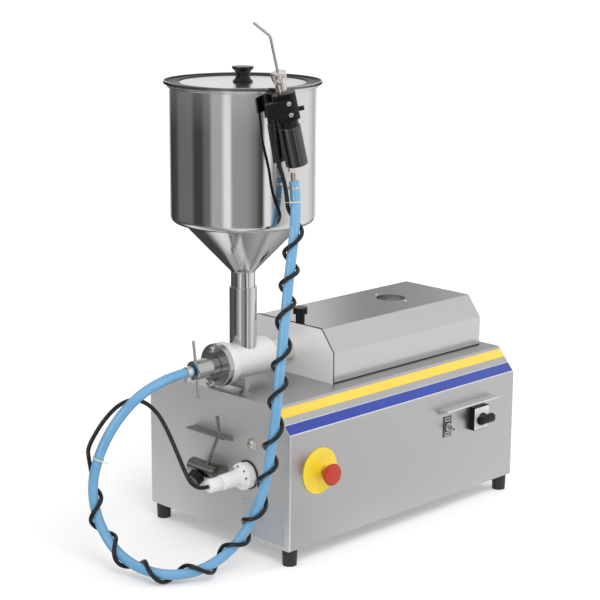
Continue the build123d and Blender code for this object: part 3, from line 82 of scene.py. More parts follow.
# Finishes: shader maths is written as Python expressions on Wires
class Wire:
    def __init__(self, finish, socket):
        self.finish = finish
        self.socket = socket

    def calc(self, operation, first, second):
        return self.finish.node("Math", {"operation": operation}, {0: first, 1: second})

    def __add__(self, other):
        return self.calc("ADD", self, other)

    def __radd__(self, other):
        return self.calc("ADD", other, self)

    def __sub__(self, other):
        return self.calc("SUBTRACT", self, other)

    def __mul__(self, other):
        return self.calc("MULTIPLY", self, other)

    def __rmul__(self, other):
        return self.calc("MULTIPLY", other, self)

    def __truediv__(self, other):
        return self.calc("DIVIDE", self, other)


class Finish:
    def __init__(self, block):
        self.block = block
        block.use_nodes = True
        self.nodes = block.node_tree.nodes
        self.links = block.node_tree.links

    def node(self, kind, settings=None, inputs=None, output=0):
        made = self.nodes.new("ShaderNode" + kind)
        for key, value in (settings or {}).items():
            setattr(made, key, value)
        for key, value in (inputs or {}).items():
            self.feed(made.inputs[key], value)
        return Wire(self, made.outputs[output])

    def feed(self, socket, value):
        if isinstance(value, Wire):
            self.links.new(value.socket, socket)
        elif socket.type == "RGBA" and len(value) == 3:
            socket.default_value = (*value, 1)
        else:
            socket.default_value = value

    def shader(self, **inputs):
        principled = self.nodes["Principled BSDF"]
        for key, value in inputs.items():
            self.feed(principled.inputs[key.replace("_", " ")], value)

    def surface(self, shade):
        self.nodes.remove(self.nodes["Principled BSDF"])
        self.feed(self.nodes["Material Output"].inputs["Surface"], shade)

    def where(self, scale=(1, 1, 1), shift=(0, 0, 0)):
        place = self.node("TexCoord", output="Object")
        return self.node("Mapping", None, {"Vector": place, "Scale": scale, "Location": shift})

    def noise(self, vector, scale, detail, rough=0.55):
        settings = {"Vector": vector, "Scale": scale, "Detail": detail, "Roughness": rough}
        return self.node("TexNoise", None, settings)

    def ramp(self, fac, stops):
        made = self.node("ValToRGB", None, {"Fac": fac})
        elements = made.socket.node.color_ramp.elements
        elements.remove(elements[1])
        for index, (place, tone) in enumerate(stops):
            element = elements.new(place) if index else elements[0]
            element.position = place
            element.color = (*grey(tone), 1)
        return made

    def share(self, value, first, last, low=0.0, high=1.0):
        span = {"Value": value, "From Min": first, "From Max": last, "To Min": low, "To Max": high}
        return self.node("MapRange", None, span)

    def reach(self, vector):
        return self.node("VectorMath", {"operation": "LENGTH"}, {0: vector}, output="Value")

    def seenRay(self):
        # 1 for what the camera sees, also in a mirror or through glass
        seen = self.node("LightPath", output="Is Camera Ray")
        seen = seen + self.node("LightPath", output="Is Glossy Ray")
        return seen + self.node("LightPath", output="Is Transmission Ray")

    def tint(self, mask, first, second):
        return self.node("Mix", {"data_type": "RGBA"}, {0: mask, 6: first, 7: second}, output=2)

    def bump(self, height, strength, distance):
        return self.node("Bump", None, {"Height": height, "Strength": strength, "Distance": distance})


def newFinish(name):
    return Finish(bpy.data.materials.new(name))


noiseMean = 0.5

# Steel finishes, each with its own grain along one way
steelNorm = {"wave": 0.03, "lines": 0.05, "warm": 0.985, "metal": 1.0, "edge": 1.0}
steelGrain = {"scale": 4.0, "detail": 5.0, "rough": 0.7}
steelCloud = {"scale": 9.0, "detail": 2.0}
steelSwing = 0.2
steelBump = {"strength": 0.015, "distance": 0.0002}
steelLooks = {
    "hoodSteel": {"tone": 0.66, "rough": 0.45, "grain": (3, 240, 240), "metal": 0.75},
    # a darker copy of the hood steel for the end hood: the dark is painted shade and reflection on its shelf
    "shelfSteelPaintedShade": {"tone": 0.28, "rough": 0.42, "grain": (240, 3, 240), "metal": 0.80},
    "panelSteel": {"tone": 0.53, "rough": 0.36, "grain": (3, 240, 240), "wave": 0.02},
    "endSteel": {"tone": 0.64, "rough": 0.52, "grain": (240, 3, 240), "wave": 0.02, "metal": 0.70},
    "bulkheadSteel": {"tone": 0.96, "rough": 0.30, "grain": (240, 3, 240), "metal": 0.20},
    "coverSteel": {"tone": 0.60, "rough": 0.21, "grain": (3, 240, 240), "wave": 0.02},
    "turnedSteel": {"tone": 0.80, "rough": 0.42, "grain": (260, 6, 6), "lines": 0.06, "metal": 0.35},
    # a darker copy of the bright steel: the dark is painted reflection of dark surroundings on the flange
    # and union nut
    "flangeSteelPaintedReflection": {"tone": 0.50, "rough": 0.13, "grain": (200, 20, 20)},
    "mirrorSteel": {"tone": 0.70, "rough": 0.055, "grain": (60, 60, 2), "wave": 0.01, "lines": 0.02},
    "coneSteel": {"tone": 0.72, "rough": 0.12, "grain": (60, 60, 2), "wave": 0.01, "lines": 0.02},
    "lidSteel": {"tone": 0.80, "rough": 0.20, "grain": (70, 70, 70), "wave": 0.02, "lines": 0.03},
    "brightSteel": {"tone": 0.66, "rough": 0.13, "grain": (200, 20, 20)},
    "sleeveSteel": {"tone": 0.64, "rough": 0.16, "grain": (40, 40, 3)},
    "neckSteel": {
        "tone": 0.84, "rough": 0.30, "grain": (260, 6, 6), "lines": 0.06, "warm": 0.94, "metal": 0.5,
    },
    # satin steel for the hose clamps, also used for strips whose brightness is a painted highlight
    "clampAndHighlightSteel": {"tone": 0.88, "rough": 0.38, "grain": (120, 120, 20), "wave": 0.04, "lines": 0.06},
    # dark steel for the lid's ring and lip band: painted reflection and painted shade
    "rimSteelPaintedShade": {"tone": 0.18, "rough": 0.14, "grain": (60, 60, 60), "lines": 0.04, "edge": 0.22},
    # darker steel for the lever and its drum: the dark is painted reflection of dark surroundings
    "leverSteelPaintedReflection": {
        "tone": 0.27, "rough": 0.20, "grain": (90, 6, 90), "wave": 0.10, "lines": 0.12, "warm": 0.90,
    },
    "gripBlack": {"tone": 0.11, "rough": 0.20, "grain": (40, 40, 3), "wave": 0.05, "lines": 0.06},
    "nickelPlate": {"tone": 0.76, "rough": 0.20, "grain": (90, 90, 90), "warm": 0.88},
}


def makeSteel(name, own):
    look = {**steelNorm, **own}
    steel = newFinish(name)
    lines = steel.noise(steel.where(scale=look["grain"]), **steelGrain)
    cloud = steel.noise(steel.where(), **steelCloud)
    shade = look["tone"] * (1 + (lines - noiseMean) * look["lines"] + (cloud - noiseMean) * look["wave"])
    warm = look["warm"]
    steel.shader(
        Base_Color=steel.node("CombineColor", None, {0: shade, 1: shade * (1 + warm) / 2, 2: shade * warm}),
        Metallic=look["metal"],
        Roughness=look["rough"] * (1 + (lines - noiseMean) * steelSwing + (cloud - noiseMean) * steelSwing),
        Specular_Tint=grey(look["edge"]),
        Normal=steel.bump(lines, **steelBump),
    )
    return steel.block


# Plastics, rubbers and paints: a base colour with mottle and a moulded texture
mouldNorm = {"shine": 0.5, "coat": 0.0}
mouldPores = {"detail": 2.0, "depth": 0.0004}
mouldCloud = {"scale": 26.0, "detail": 4.0}
mouldSwing = 0.4
mouldMottle = {"lift": 1.16, "least": 0.002, "drop": 0.86}
mouldLooks = {
    "blackRubber": {"colour": (0.020, 0.020, 0.021), "rough": 0.62, "pores": 900, "bump": 0.18},
    "blackPlastic": {
        "colour": (0.005, 0.005, 0.0055), "rough": 0.24, "pores": 1400, "bump": 0.04, "shine": 0.25,
    },
    "gunBlack": {
        "colour": (0.005, 0.005, 0.0055), "rough": 0.32, "pores": 1600, "bump": 0.05, "shine": 0.25,
    },
    "redGloss": {"colour": (0.47, 0.030, 0.012), "rough": 0.30, "pores": 700, "bump": 0.02},
    "yellowPlastic": {"colour": (0.86, 0.66, 0.035), "rough": 0.32, "pores": 700, "bump": 0.03},
    "whitePlastic": {"colour": (0.74, 0.74, 0.72), "rough": 0.34, "pores": 900, "bump": 0.05},
    "greyPlastic": {"colour": (0.22, 0.22, 0.23), "rough": 0.42, "pores": 900, "bump": 0.06},
    "hoseBlue": {"colour": (0.122, 0.312, 0.515), "rough": 0.20, "pores": 500, "bump": 0.02, "coat": 0.6},
    "cableBlack": {
        "colour": (0.004, 0.004, 0.0045), "rough": 0.20, "pores": 1500, "bump": 0.03, "shine": 0.45,
    },
    "motorPaint": {"colour": (0.10, 0.115, 0.13), "rough": 0.45, "pores": 500, "bump": 0.10},
    "stripeYellow": {"colour": (0.92, 0.60, 0.065), "rough": 0.40, "pores": 600, "bump": 0.02},
    "stripeBlue": {"colour": (0.022, 0.050, 0.33), "rough": 0.38, "pores": 600, "bump": 0.02},
    "foilSilver": {"colour": (0.60, 0.61, 0.63), "rough": 0.42, "pores": 600, "bump": 0.02},
    "plateFoil": {"colour": (0.40, 0.43, 0.47), "rough": 0.40, "pores": 600, "bump": 0.02},
    "legendGrey": {"colour": (0.055, 0.055, 0.058), "rough": 0.42, "pores": 900, "bump": 0.03},
    "frameGrey": {"colour": (0.46, 0.46, 0.48), "rough": 0.42, "pores": 900, "bump": 0.03},
    "plugWhite": {"colour": (0.88, 0.88, 0.86), "rough": 0.36, "pores": 900, "bump": 0.03},
    "tieWhite": {"colour": (0.56, 0.56, 0.54), "rough": 0.40, "pores": 900, "bump": 0.04},
}


def makeMould(name, own):
    look = {**mouldNorm, **own}
    mould = newFinish(name)
    pores = mould.noise(mould.where(), look["pores"], mouldPores["detail"])
    cloud = mould.noise(mould.where(), **mouldCloud)
    pale = tuple(min(1.0, part * mouldMottle["lift"] + mouldMottle["least"]) for part in look["colour"])
    deep = tuple(part * mouldMottle["drop"] for part in look["colour"])
    mould.shader(
        Base_Color=mould.tint(cloud, deep, pale),
        Roughness=look["rough"] * (1 + (cloud - noiseMean) * mouldSwing),
        Specular_IOR_Level=look["shine"],
        Coat_Weight=look["coat"],
        Normal=mould.bump(pores, look["bump"], mouldPores["depth"]),
    )
    return mould.block


looks = {name: makeSteel(name, look) for name, look in steelLooks.items()}
looks.update({name: makeMould(name, look) for name, look in mouldLooks.items()})
print("finishes made:", len(looks))


def dress(piece, look):
    piece.data.materials.clear()
    piece.data.materials.append(looks[look])


# Cords: the hose and the control cable wound round it
hosePlan = {
    "radius": 0.0095,
    "length": 1.41,
    "sides": 10,
    "steps": 12,
    "points": [
        (-0.356, 0.008, 0.359), (-0.404, 0.008, 0.359), (-0.471, 0.0217, 0.335), (-0.516, 0.0417, 0.2845),
        (-0.543, 0.059, 0.222), (-0.552, 0.071, 0.1545), (-0.545, 0.0573, 0.084), (-0.537, 0.0047, 0.033),
        (-0.521, -0.076, 0.0185), (-0.4645, -0.1215, 0.0185), (-0.3897, -0.1343, 0.0423),
        (-0.360, -0.161, 0.101), (-0.3456, -0.1804, 0.167), (-0.3407, -0.1913, 0.234),
        (-0.3347, -0.1983, 0.301), (-0.3277, -0.1993, 0.369), (-0.3127, -0.1933, 0.435),
        (-0.2973, -0.1867, 0.501), (-0.2816, -0.1794, 0.566), (-0.2633, -0.1727, 0.631),
        (-0.2459, -0.1603, 0.695), (-0.2492, -0.15704, 0.73104),
    ],
}
cablePlan = {
    "radius": 0.004,
    "length": 2.20,
    "sides": 5,
    "steps": 5,
    "gap": 0.0008,
    "perTurn": 16,
    "firstTurn": 0.25,
    "lastTurn": 13.5,
    "frontLeft": Vector((-0.69, -0.69, 0.22)),
    # lengths of hose from the gun where the winding crosses the front left side
    "marks": [
        0.0207, 0.118, 0.178, 0.237, 0.325, 0.384, 0.475, 0.539, 0.634, 0.695, 0.783, 0.870, 0.959, 1.049,
        1.127,
    ],
    "upper": [
        (-0.30809, -0.16043, 0.84779), (-0.30210, -0.16124, 0.82457), (-0.299, -0.155, 0.803),
        (-0.287, -0.1535, 0.772), (-0.276, -0.156, 0.741), (-0.27186, -0.16028, 0.71482),
    ],
    "lower": [
        (-0.54781, 0.08058, 0.21029), (-0.545, 0.088, 0.229), (-0.528, 0.086, 0.255),
        (-0.508, 0.081, 0.281), (-0.485, 0.072, 0.304), (-0.462, 0.060, 0.315), (-0.441, 0.044, 0.309),
        (-0.427, 0.025, 0.289), (-0.423, 0.004, 0.262), (-0.4255, -0.022, 0.232), (-0.428, -0.047, 0.200),
        (-0.4281, -0.0657, 0.1759), (-0.4206, -0.0735, 0.1655), (-0.4076, -0.078, 0.1595),
        (-0.3926, -0.078, 0.1595),
    ],
}


def addCord(name, points, plan):
    curve = bpy.data.curves.new(name, "CURVE")
    curve.dimensions = "3D"
    spline = curve.splines.new("NURBS")
    spline.points.add(len(points) - 1)
    for point, place in zip(spline.points, points):
        point.co = (*place, 1)
    spline.order_u = 3
    spline.use_endpoint_u = True
    curve.resolution_u = plan["steps"]
    curve.bevel_depth = plan["radius"]
    curve.bevel_resolution = plan["sides"]
    curve.use_fill_caps = True
    cord = bpy.data.objects.new(name, curve)
    bpy.context.scene.collection.objects.link(cord)
    return cord


def cordLine(cord):
    # the points that the cord's own spline gives, with no bevel
    bare = cord.copy()
    bare.data = cord.data.copy()
    bare.data.bevel_depth = 0
    bpy.context.scene.collection.objects.link(bare)
    bpy.context.view_layer.update()
    mesh = bpy.data.meshes.new_from_object(bare)
    line = [vertex.co.copy() for vertex in mesh.vertices]
    bpy.data.objects.remove(bare)
    return line


def windingPoints(line):
    # walk the hose's line from the gun's end and go round it
    line = line[::-1]
    runs = [0.0]
    for first, second in zip(line, line[1:]):
        runs.append(runs[-1] + (second - first).length)
    clear = hosePlan["radius"] + cablePlan["gap"] + cablePlan["radius"]
    radius = clear / math.cos(math.pi / cablePlan["perTurn"])
    marks = cablePlan["marks"]
    points = []
    steps = round((cablePlan["lastTurn"] - cablePlan["firstTurn"]) * cablePlan["perTurn"])
    for step in range(steps + 1):
        turns = cablePlan["firstTurn"] + step / cablePlan["perTurn"]
        whole = min(int(turns), len(marks) - 2)
        run = marks[whole] + (turns - whole) * (marks[whole + 1] - marks[whole])
        index = max(i for i, length in enumerate(runs[:-1]) if length <= run)
        share = (run - runs[index]) / (runs[index + 1] - runs[index])
        way = (line[index + 1] - line[index]).normalized()
        front = (cablePlan["frontLeft"] - way * cablePlan["frontLeft"].dot(way)).normalized()
        angle = 2 * math.pi * turns
        middle = line[index].lerp(line[index + 1], share)
        points.append(middle + (front * math.cos(angle) + way.cross(front) * math.sin(angle)) * radius)
    return points


hose = addCord("feed_hose", hosePlan["points"], hosePlan)
dress(hose, "hoseBlue")
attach(hose, "machine")
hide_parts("hose")

hoseLine = cordLine(hose)
cableRoute = cablePlan["upper"] + windingPoints(hoseLine) + cablePlan["lower"]
cable = addCord("control_cable", cableRoute, cablePlan)
dress(cable, "cableBlack")
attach(cable, "machine")
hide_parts("cable_winding", "cable_ends")
print("cords laid")

nodeLooks = {
    "panelSteel": ["base_housing", "base_plate", "pump_yoke"],
    "hoodSteel": ["control_hood"],
    # end hood in the darker steel: painted shade
    "shelfSteelPaintedShade": ["end_hood"],
    "endSteel": ["end_panel_left", "end_panel_right"],
    "bulkheadSteel": ["cover_bulkhead"],
    "coverSteel": ["gable_cover", "cover_grip_cup"],
    "turnedSteel": ["pump_body", "shaft_bearings", "feed_screw", "pump_shaft"],
    "neckSteel": ["pump_neck"],
    "mirrorSteel": ["hopper_shell", "hopper_neck"],
    "coneSteel": ["hopper_cone"],
    "lidSteel": ["hopper_lid"],
    # flange and union nut in the darker steel: painted reflection
    "flangeSteelPaintedReflection": ["pump_flange", "union_nut"],
    "brightSteel": [
        "flange_nuts", "tommy_bars", "hose_barb", "gun_hanger", "toggle_switch", "toggle_lever",
    ],
    "clampAndHighlightSteel": ["hose_clamps"],
    "sleeveSteel": ["inlet_sleeve", "nozzle_tube"],
    # lever pieces in the darker steel: painted reflection
    "leverSteelPaintedReflection": ["lever_bracket", "dosing_lever"],
    "nickelPlate": ["gun_neck", "nozzle_nut", "gun_fitting"],
    "blackRubber": ["rubber_feet", "cover_gasket", "shaft_seal"],
    "blackPlastic": ["main_switch_base", "main_switch_knob", "cover_knob", "lid_knob", "clamp_knob"],
    "gripBlack": ["gun_grip"],
    "gunBlack": ["gun_head", "gun_trigger", "switch_block"],
    "redGloss": ["estop_button"],
    "yellowPlastic": ["estop_disc", "estop_collar"],
    "plugWhite": ["panel_socket", "plug_body", "plug_gland_nut"],
    "greyPlastic": ["mains_gland", "motor_drive"],
    "motorPaint": ["gearbox", "motor"],
}
for look, names in nodeLooks.items():
    for name in names:
        dress(cad[name], look)
print("CAD nodes dressed")

# Trim: sizes and offsets are in mm, places in metres, a soft edge is its width and its rounds
mm = 0.001
seedSize = 0.001
weldGap = 0.000002
frontWay = Vector((0, -1, 0))
endWay = Vector((-1, 0, 0))
upWay = Vector((0, 0, 1))
frontAxes = (Vector((1, 0, 0)), upWay, frontWay)
endAxes = (frontWay, upWay, endWay)


def freshStart():
    if bpy.context.object and bpy.context.object.mode != "OBJECT":
        bpy.ops.object.mode_set(mode="OBJECT")
    bpy.ops.object.select_all(action="DESELECT")


def settle(piece, crease):
    # its place goes into the mesh, and its edges get their shading
    bpy.ops.object.transform_apply(location=True, rotation=True, scale=True)
    bpy.ops.object.shade_smooth_by_angle(angle=math.radians(crease))
    return piece


def seedVertex(name, place):
    # a piece of one vertex, left in edit mode
    freshStart()
    bpy.ops.mesh.primitive_plane_add(size=seedSize)
    piece = bpy.context.object
    piece.name = name
    bpy.ops.object.mode_set(mode="EDIT")
    bpy.ops.mesh.merge(type="CENTER")
    bpy.ops.transform.translate(value=place)
    return piece


def drawOn(step):
    bpy.ops.mesh.extrude_vertices_move(TRANSFORM_OT_translate={"value": step})


def cutFlutes(piece, steps, low, high, depth):
    # every second row of points between two heights is drawn in by a share of its radius
    bpy.ops.mesh.select_all(action="DESELECT")
    bpy.ops.object.mode_set(mode="OBJECT")
    for vertex in piece.data.vertices:
        row = round(math.atan2(vertex.co.y, vertex.co.x) / (2 * math.pi) * steps)
        vertex.select = row % 2 == 1 and low * mm < vertex.co.z < high * mm
    bpy.ops.object.mode_set(mode="EDIT")
    bpy.ops.transform.resize(value=(1 - depth, 1 - depth, 1), center_override=(0, 0, 0))


def turned(name, outline, place, way, steps, crease=32, flutes=None):
    # an outline of (radius, height) points, spun about its axis
    piece = seedVertex(name, (outline[0][0] * mm, 0, outline[0][1] * mm))
    for (fromR, fromH), (toR, toH) in zip(outline, outline[1:]):
        drawOn(((toR - fromR) * mm, 0, (toH - fromH) * mm))
    bpy.ops.mesh.select_all(action="SELECT")
    bpy.ops.mesh.spin(steps=steps, angle=2 * math.pi, center=(0, 0, 0), axis=(0, 0, 1))
    bpy.ops.mesh.select_all(action="SELECT")
    bpy.ops.mesh.remove_doubles(threshold=weldGap)
    bpy.ops.mesh.normals_make_consistent(inside=False)
    if flutes:
        cutFlutes(piece, steps, *flutes)
    bpy.ops.object.mode_set(mode="OBJECT")
    turn = upWay.rotation_difference(way)
    piece.matrix_world = Matrix.Translation(place) @ turn.to_matrix().to_4x4()
    return settle(piece, crease)


def strip(name, path, width, thick, crease=30):
    # a rail along a path of points, as wide along X as given, thickened towards the inside
    piece = seedVertex(name, path[0])
    for first, second in zip(path, path[1:]):
        drawOn(second - first)
    bpy.ops.mesh.select_all(action="SELECT")
    bpy.ops.mesh.extrude_region_move(TRANSFORM_OT_translate={"value": (width * mm, 0, 0)})
    bpy.ops.object.mode_set(mode="OBJECT")
    wall = piece.modifiers.new("wall", "SOLIDIFY")
    wall.thickness = thick * mm
    wall.offset = -1
    wall.use_even_offset = True
    bpy.ops.object.modifier_apply(modifier="wall")
    bpy.ops.object.mode_set(mode="EDIT")
    bpy.ops.mesh.select_all(action="SELECT")
    bpy.ops.mesh.normals_make_consistent(inside=False)
    bpy.ops.object.mode_set(mode="OBJECT")
    return settle(piece, crease)


def block(name, middle, size, soft, axes=None, crease=40):
    # a cube at its size with softened edges; axes are the block's own x, y and z ways
    freshStart()
    bpy.ops.mesh.primitive_cube_add(size=1)
    piece = bpy.context.object
    piece.name = name
    piece.scale = [side * mm for side in size]
    bpy.ops.object.transform_apply(location=False, rotation=False, scale=True)
    edge = piece.modifiers.new("softEdge", "BEVEL")
    edge.width = soft[0] * mm
    edge.segments = soft[1]
    edge.limit_method = "ANGLE"
    bpy.ops.object.modifier_apply(modifier="softEdge")
    turn = Matrix(axes).transposed().to_4x4() if axes else Matrix.Identity(4)
    piece.matrix_world = Matrix.Translation(middle) @ turn
    return settle(piece, crease)


def onFront(name, place, part, along=0, rise=0):
    # a block that stands out from the front panel
    middle = place + Vector((along, -part["out"], rise)) * mm
    return block(name, middle, part["size"], part["soft"], frontAxes)


def joined(pieces):
    freshStart()
    for piece in pieces:
        piece.select_set(True)
    bpy.context.view_layer.objects.active = pieces[0]
    bpy.ops.object.join()
    return pieces[0]


def fit(piece, body, look, stands=()):
    dress(piece, look)
    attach(piece, body)
    if stands:
        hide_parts(*stands)
    return piece


# Two stripes of film along the front chamfer, the blue one on a pale carrier film
stripes = {
    "foot": Vector((0, -0.192, 0.259)),
    "rise": Vector((0, 0.042, 0.049)),
    "ends": (-0.2885, 0.3725),
    "soft": (0.12, 2),
    "films": {
        "stripe_yellow": {
            "span": (0.60, 0.895), "proud": 0.35, "look": "stripeYellow", "slot": "yellow_plastic",
        },
        "stripe_blue": {"span": (0.055, 0.365), "proud": 0.45, "look": "stripeBlue", "slot": "blue_hose"},
        "stripe_film": {"span": (0.02, 0.385), "proud": 0.30, "look": "foilSilver", "slot": "white_plastic"},
    },
}


def layStripes():
    along = Vector((1, 0, 0))
    upSlope = stripes["rise"].normalized()
    outward = along.cross(upSlope)
    left, right = stripes["ends"]
    for name, film in stripes["films"].items():
        low, high = film["span"]
        wide = (high - low) * stripes["rise"].length / mm
        middle = stripes["foot"] + stripes["rise"] * (low + high) / 2
        middle = middle + along * (left + right) / 2 + outward * film["proud"] * mm / 2
        size = ((right - left) / mm, wide, film["proud"])
        piece = block(name, middle, size, stripes["soft"], (along, upSlope, outward))
        fit(piece, "machine", film["look"])


layStripes()

# Bare plate on the end panel, with a raised rim; its face is found by its facing and its area in m2
dataPlate = {
    "middle": Vector((-0.2902, -0.1202, 0.0745)),
    "size": (112.9, 69.0, 0.5),
    "soft": (0.15, 2),
    "rim": 2.2,
    "sunk": 0.15,
    "facing": 0.99,
    "leastFace": 0.005,
}


def addDataPlate():
    plate = block("data_plate", dataPlate["middle"], dataPlate["size"], dataPlate["soft"], endAxes)
    bpy.ops.object.mode_set(mode="EDIT")
    bpy.ops.mesh.select_all(action="DESELECT")
    bpy.ops.object.mode_set(mode="OBJECT")
    for face in plate.data.polygons:
        outside = face.normal.dot(endWay) > dataPlate["facing"]
        face.select = outside and face.area > dataPlate["leastFace"]
    bpy.ops.object.mode_set(mode="EDIT")
    bpy.ops.mesh.inset(thickness=dataPlate["rim"] * mm, depth=-dataPlate["sunk"] * mm)
    bpy.ops.object.mode_set(mode="OBJECT")
    fit(plate, "machine", "plateFoil")


addDataPlate()

# Emergency stop: a mushroom head on its stem
estop = {
    "place": Vector((-0.2114, -0.192, 0.1768)),
    "steps": 72,
    "head": [
        (0, 39.0), (12, 38.9), (18.4, 38.6), (20.4, 37.8), (21.3, 36.4), (21.5, 34.8), (20.9, 32.2),
        (19.4, 29.0), (17.2, 25.2), (15.0, 22.2), (13.6, 20.6), (12.4, 20.1), (7.0, 19.0), (6.0, 17.0),
        (6.0, 4.0), (0, 4.0),
    ],
}
fit(
    turned("stop_head", estop["head"], estop["place"], frontWay, estop["steps"]),
    "estop", "redGloss", ["estop_button"],
)

# Toggle switch: its legend plate, left blank, with a pale frame at each end
toggle = {
    "place": Vector((0.160, -0.192, 0.184)),
    "plate": {"size": (25, 43, 1.2), "out": 0.6, "soft": (0.4, 3)},
    "frame": {"size": (16, 8.5, 0.5), "out": 1.3, "soft": (0.15, 2)},
    "field": {"size": (11.5, 4.2, 0.5), "out": 1.5, "soft": (0.15, 2)},
    "frameAt": 15.5,
}


def addTogglePlate():
    place, frameAt = toggle["place"], toggle["frameAt"]
    frames = []
    fields = [onFront("toggle_plate", place, toggle["plate"])]
    for rise in (-frameAt, frameAt):
        frames.append(onFront("toggle_frames", place, toggle["frame"], rise=rise))
        fields.append(onFront("toggle_field", place, toggle["field"], rise=rise))
    fit(joined(fields), "machine", "legendGrey")
    fit(joined(frames), "machine", "frameGrey")


addTogglePlate()

# Main switch: a pale face plate, and a handle with a round hub
mainSwitch = {
    "place": Vector((0.2555, -0.192, 0.1855)),
    "face": {"size": (45.5, 46.5, 1.6), "out": 12.9, "soft": (0.6, 3)},
    "hub": [
        (0, 20.6), (9.0, 20.4), (10.6, 19.4), (11.0, 18.0), (11.0, 14.3), (4.0, 14.3), (4.0, 6.0), (0, 6.0),
    ],
    "hubSteps": 64,
    "handle": {"size": (50.0, 19.0, 15.6), "out": 25.4, "soft": (7.0, 6)},
    "handleAlong": -0.5,
}


def addMainSwitch():
    place = mainSwitch["place"]
    face = onFront("switch_face", place, mainSwitch["face"])
    fit(face, "machine", "whitePlastic")
    hub = turned("switch_handle", mainSwitch["hub"], place, frontWay, mainSwitch["hubSteps"])
    handle = onFront("switch_grip", place, mainSwitch["handle"], mainSwitch["handleAlong"])
    fit(joined([hub, handle]), "main_switch", "blackPlastic", ["main_switch_knob"])


addMainSwitch()

# A strip on the control hood's folded edge, in brighter steel than the hood: its brightness is a painted
# highlight
hoodEdgeHighlight = {"size": 1.7, "soft": (0.6, 3), "short": 1.0, "inward": 0.4, "drop": 0.5}


def addHoodEdgeHighlight():
    low, high = (Vector(corner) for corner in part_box("control_hood"))
    across = low.y + hoodEdgeHighlight["inward"] * mm
    middle = Vector(((low.x + high.x) / 2, across, high.z - hoodEdgeHighlight["drop"] * mm))
    size = ((high.x - low.x) / mm - hoodEdgeHighlight["short"], hoodEdgeHighlight["size"], hoodEdgeHighlight["size"])
    # the strip's bright steel is a painted highlight along the fold
    fit(block("hood_edge_highlight", middle, size, hoodEdgeHighlight["soft"]), "machine", "clampAndHighlightSteel")


addHoodEdgeHighlight()

# The gun's foot and its own ways
gun = {
    "foot": Vector((-0.24484, -0.16096, 0.7608)),
    "up": Vector((-0.249796, 0.033774, 0.967709)),
    "front": Vector((-0.640139, -0.755604, -0.138869)),
    "right": Vector((0.726515, -0.654157, 0.210367)),
}


def onGun(rise, out=0, side=0):
    return gun["foot"] + (gun["up"] * rise + gun["front"] * out + gun["right"] * side) * mm


# Small fasteners: a dome nut on the end panel, the cup's rivets and the switch block's screws
fastenerSteps = 40
fasteners = {
    "panel_dome_nut": {
        "outline": [
            (0, 10.4), (3.7, 9.9), (6.8, 8.3), (8.8, 5.8), (9.5, 2.9), (10.9, 2.4), (11.7, 1.7),
            (11.7, 0.2), (11.2, 0), (0, 0),
        ],
        "places": [Vector((-0.290, -0.0905, 0.2228))],
        "way": endWay,
        "body": "machine",
    },
    "cup_rivets": {
        "outline": [(0, 1.8), (1.6, 1.6), (2.9, 0.9), (3.5, 0.1), (3.5, -0.4), (0, -0.4)],
        "places": [Vector((0.207, -0.0305, 0.4125)), Vector((0.207, 0.0525, 0.4125))],
        "way": upWay,
        "body": "cover",
    },
    "block_screws": {
        "outline": [
            (0, 0.9), (1.0, 0.9), (1.2, 1.9), (2.6, 1.9), (3.7, 1.4), (4.2, 0.6), (4.2, -0.6), (0, -0.6),
        ],
        "places": [onGun(rise, out=36, side=7) for rise in (103.5, 124)],
        "way": gun["front"],
        "body": "machine",
    },
}


def addFasteners():
    for name, plan in fasteners.items():
        made = [turned(name, plan["outline"], place, plan["way"], fastenerSteps) for place in plan["places"]]
        fit(joined(made), plan["body"], "nickelPlate")


addFasteners()

# Nozzle nut: knurled, narrowing towards the gun's neck
nozzleNut = {
    "rise": 155,
    "steps": 96,
    "outline": [
        (0, 21.8), (11.4, 21.8), (13.2, 20.9), (13.9, 19.2), (14.0, 17.0), (14.0, 11.5), (13.4, 8.2),
        (12.0, 4.2), (11.2, 1.4), (10.8, 0.3), (0, 0.3),
    ],
    "flutes": (8.0, 20.0, 0.03),
}
fit(
    turned(
        "knurled_nut", nozzleNut["outline"], onGun(nozzleNut["rise"]), gun["up"], nozzleNut["steps"],
        flutes=nozzleNut["flutes"],
    ),
    "machine", "nickelPlate", ["nozzle_nut"],
)

# Rubber seal between the bulkhead's edge and the cover
seal = {
    "from": -0.0964,
    "width": 0.9,
    "thick": 1.5,
    "path": [
        (-0.1150, 0.3105), (-0.1150, 0.3700), (-0.0818, 0.4130), (0.0978, 0.4130), (0.1310, 0.3700),
        (0.1310, 0.3105),
    ],
}
sealPath = [Vector((seal["from"], side, height)) for side, height in seal["path"]]
sealStrip = strip("bulkhead_seal", sealPath, seal["width"], seal["thick"])
fit(sealStrip, "machine", "blackRubber")

# Lid: a pressed ring round its flat middle, and a band on its lip, in dark steel: the dark is painted
# reflection on the ring and painted shade under the lip's overhang
lidRim = {
    "place": Vector((-0.222, 0.008, 0.8948)),
    "steps": 128,
    "outlines": {
        "ring": [
            (119.0, 1.4), (119.0, 1.7), (121.5, 2.5), (127.0, 3.0), (136.0, 2.9), (143.5, 3.3),
            (146.4, 4.6), (147.4, 4.6), (147.4, 1.4), (119.0, 1.4),
        ],
        "band": [
            (148.9, 0.2), (149.4, 0.4), (149.5, 1.2), (149.5, 4.0), (149.3, 4.6), (148.9, 4.7), (148.9, 0.2),
        ],
    },
}
lidTrim = [
    turned("lid_rim", outline, lidRim["place"], upWay, lidRim["steps"])
    for outline in lidRim["outlines"].values()
]
fit(joined(lidTrim), "lid", "rimSteelPaintedShade")

# A rounded bead on the corner where the end panel meets the folded front, in brighter steel than the panels:
# its brightness is a painted highlight
cornerBeadHighlight = {"at": (-0.2886, -0.1906), "span": (0.0335, 0.2585), "size": 3.4, "soft": (1.6, 4)}


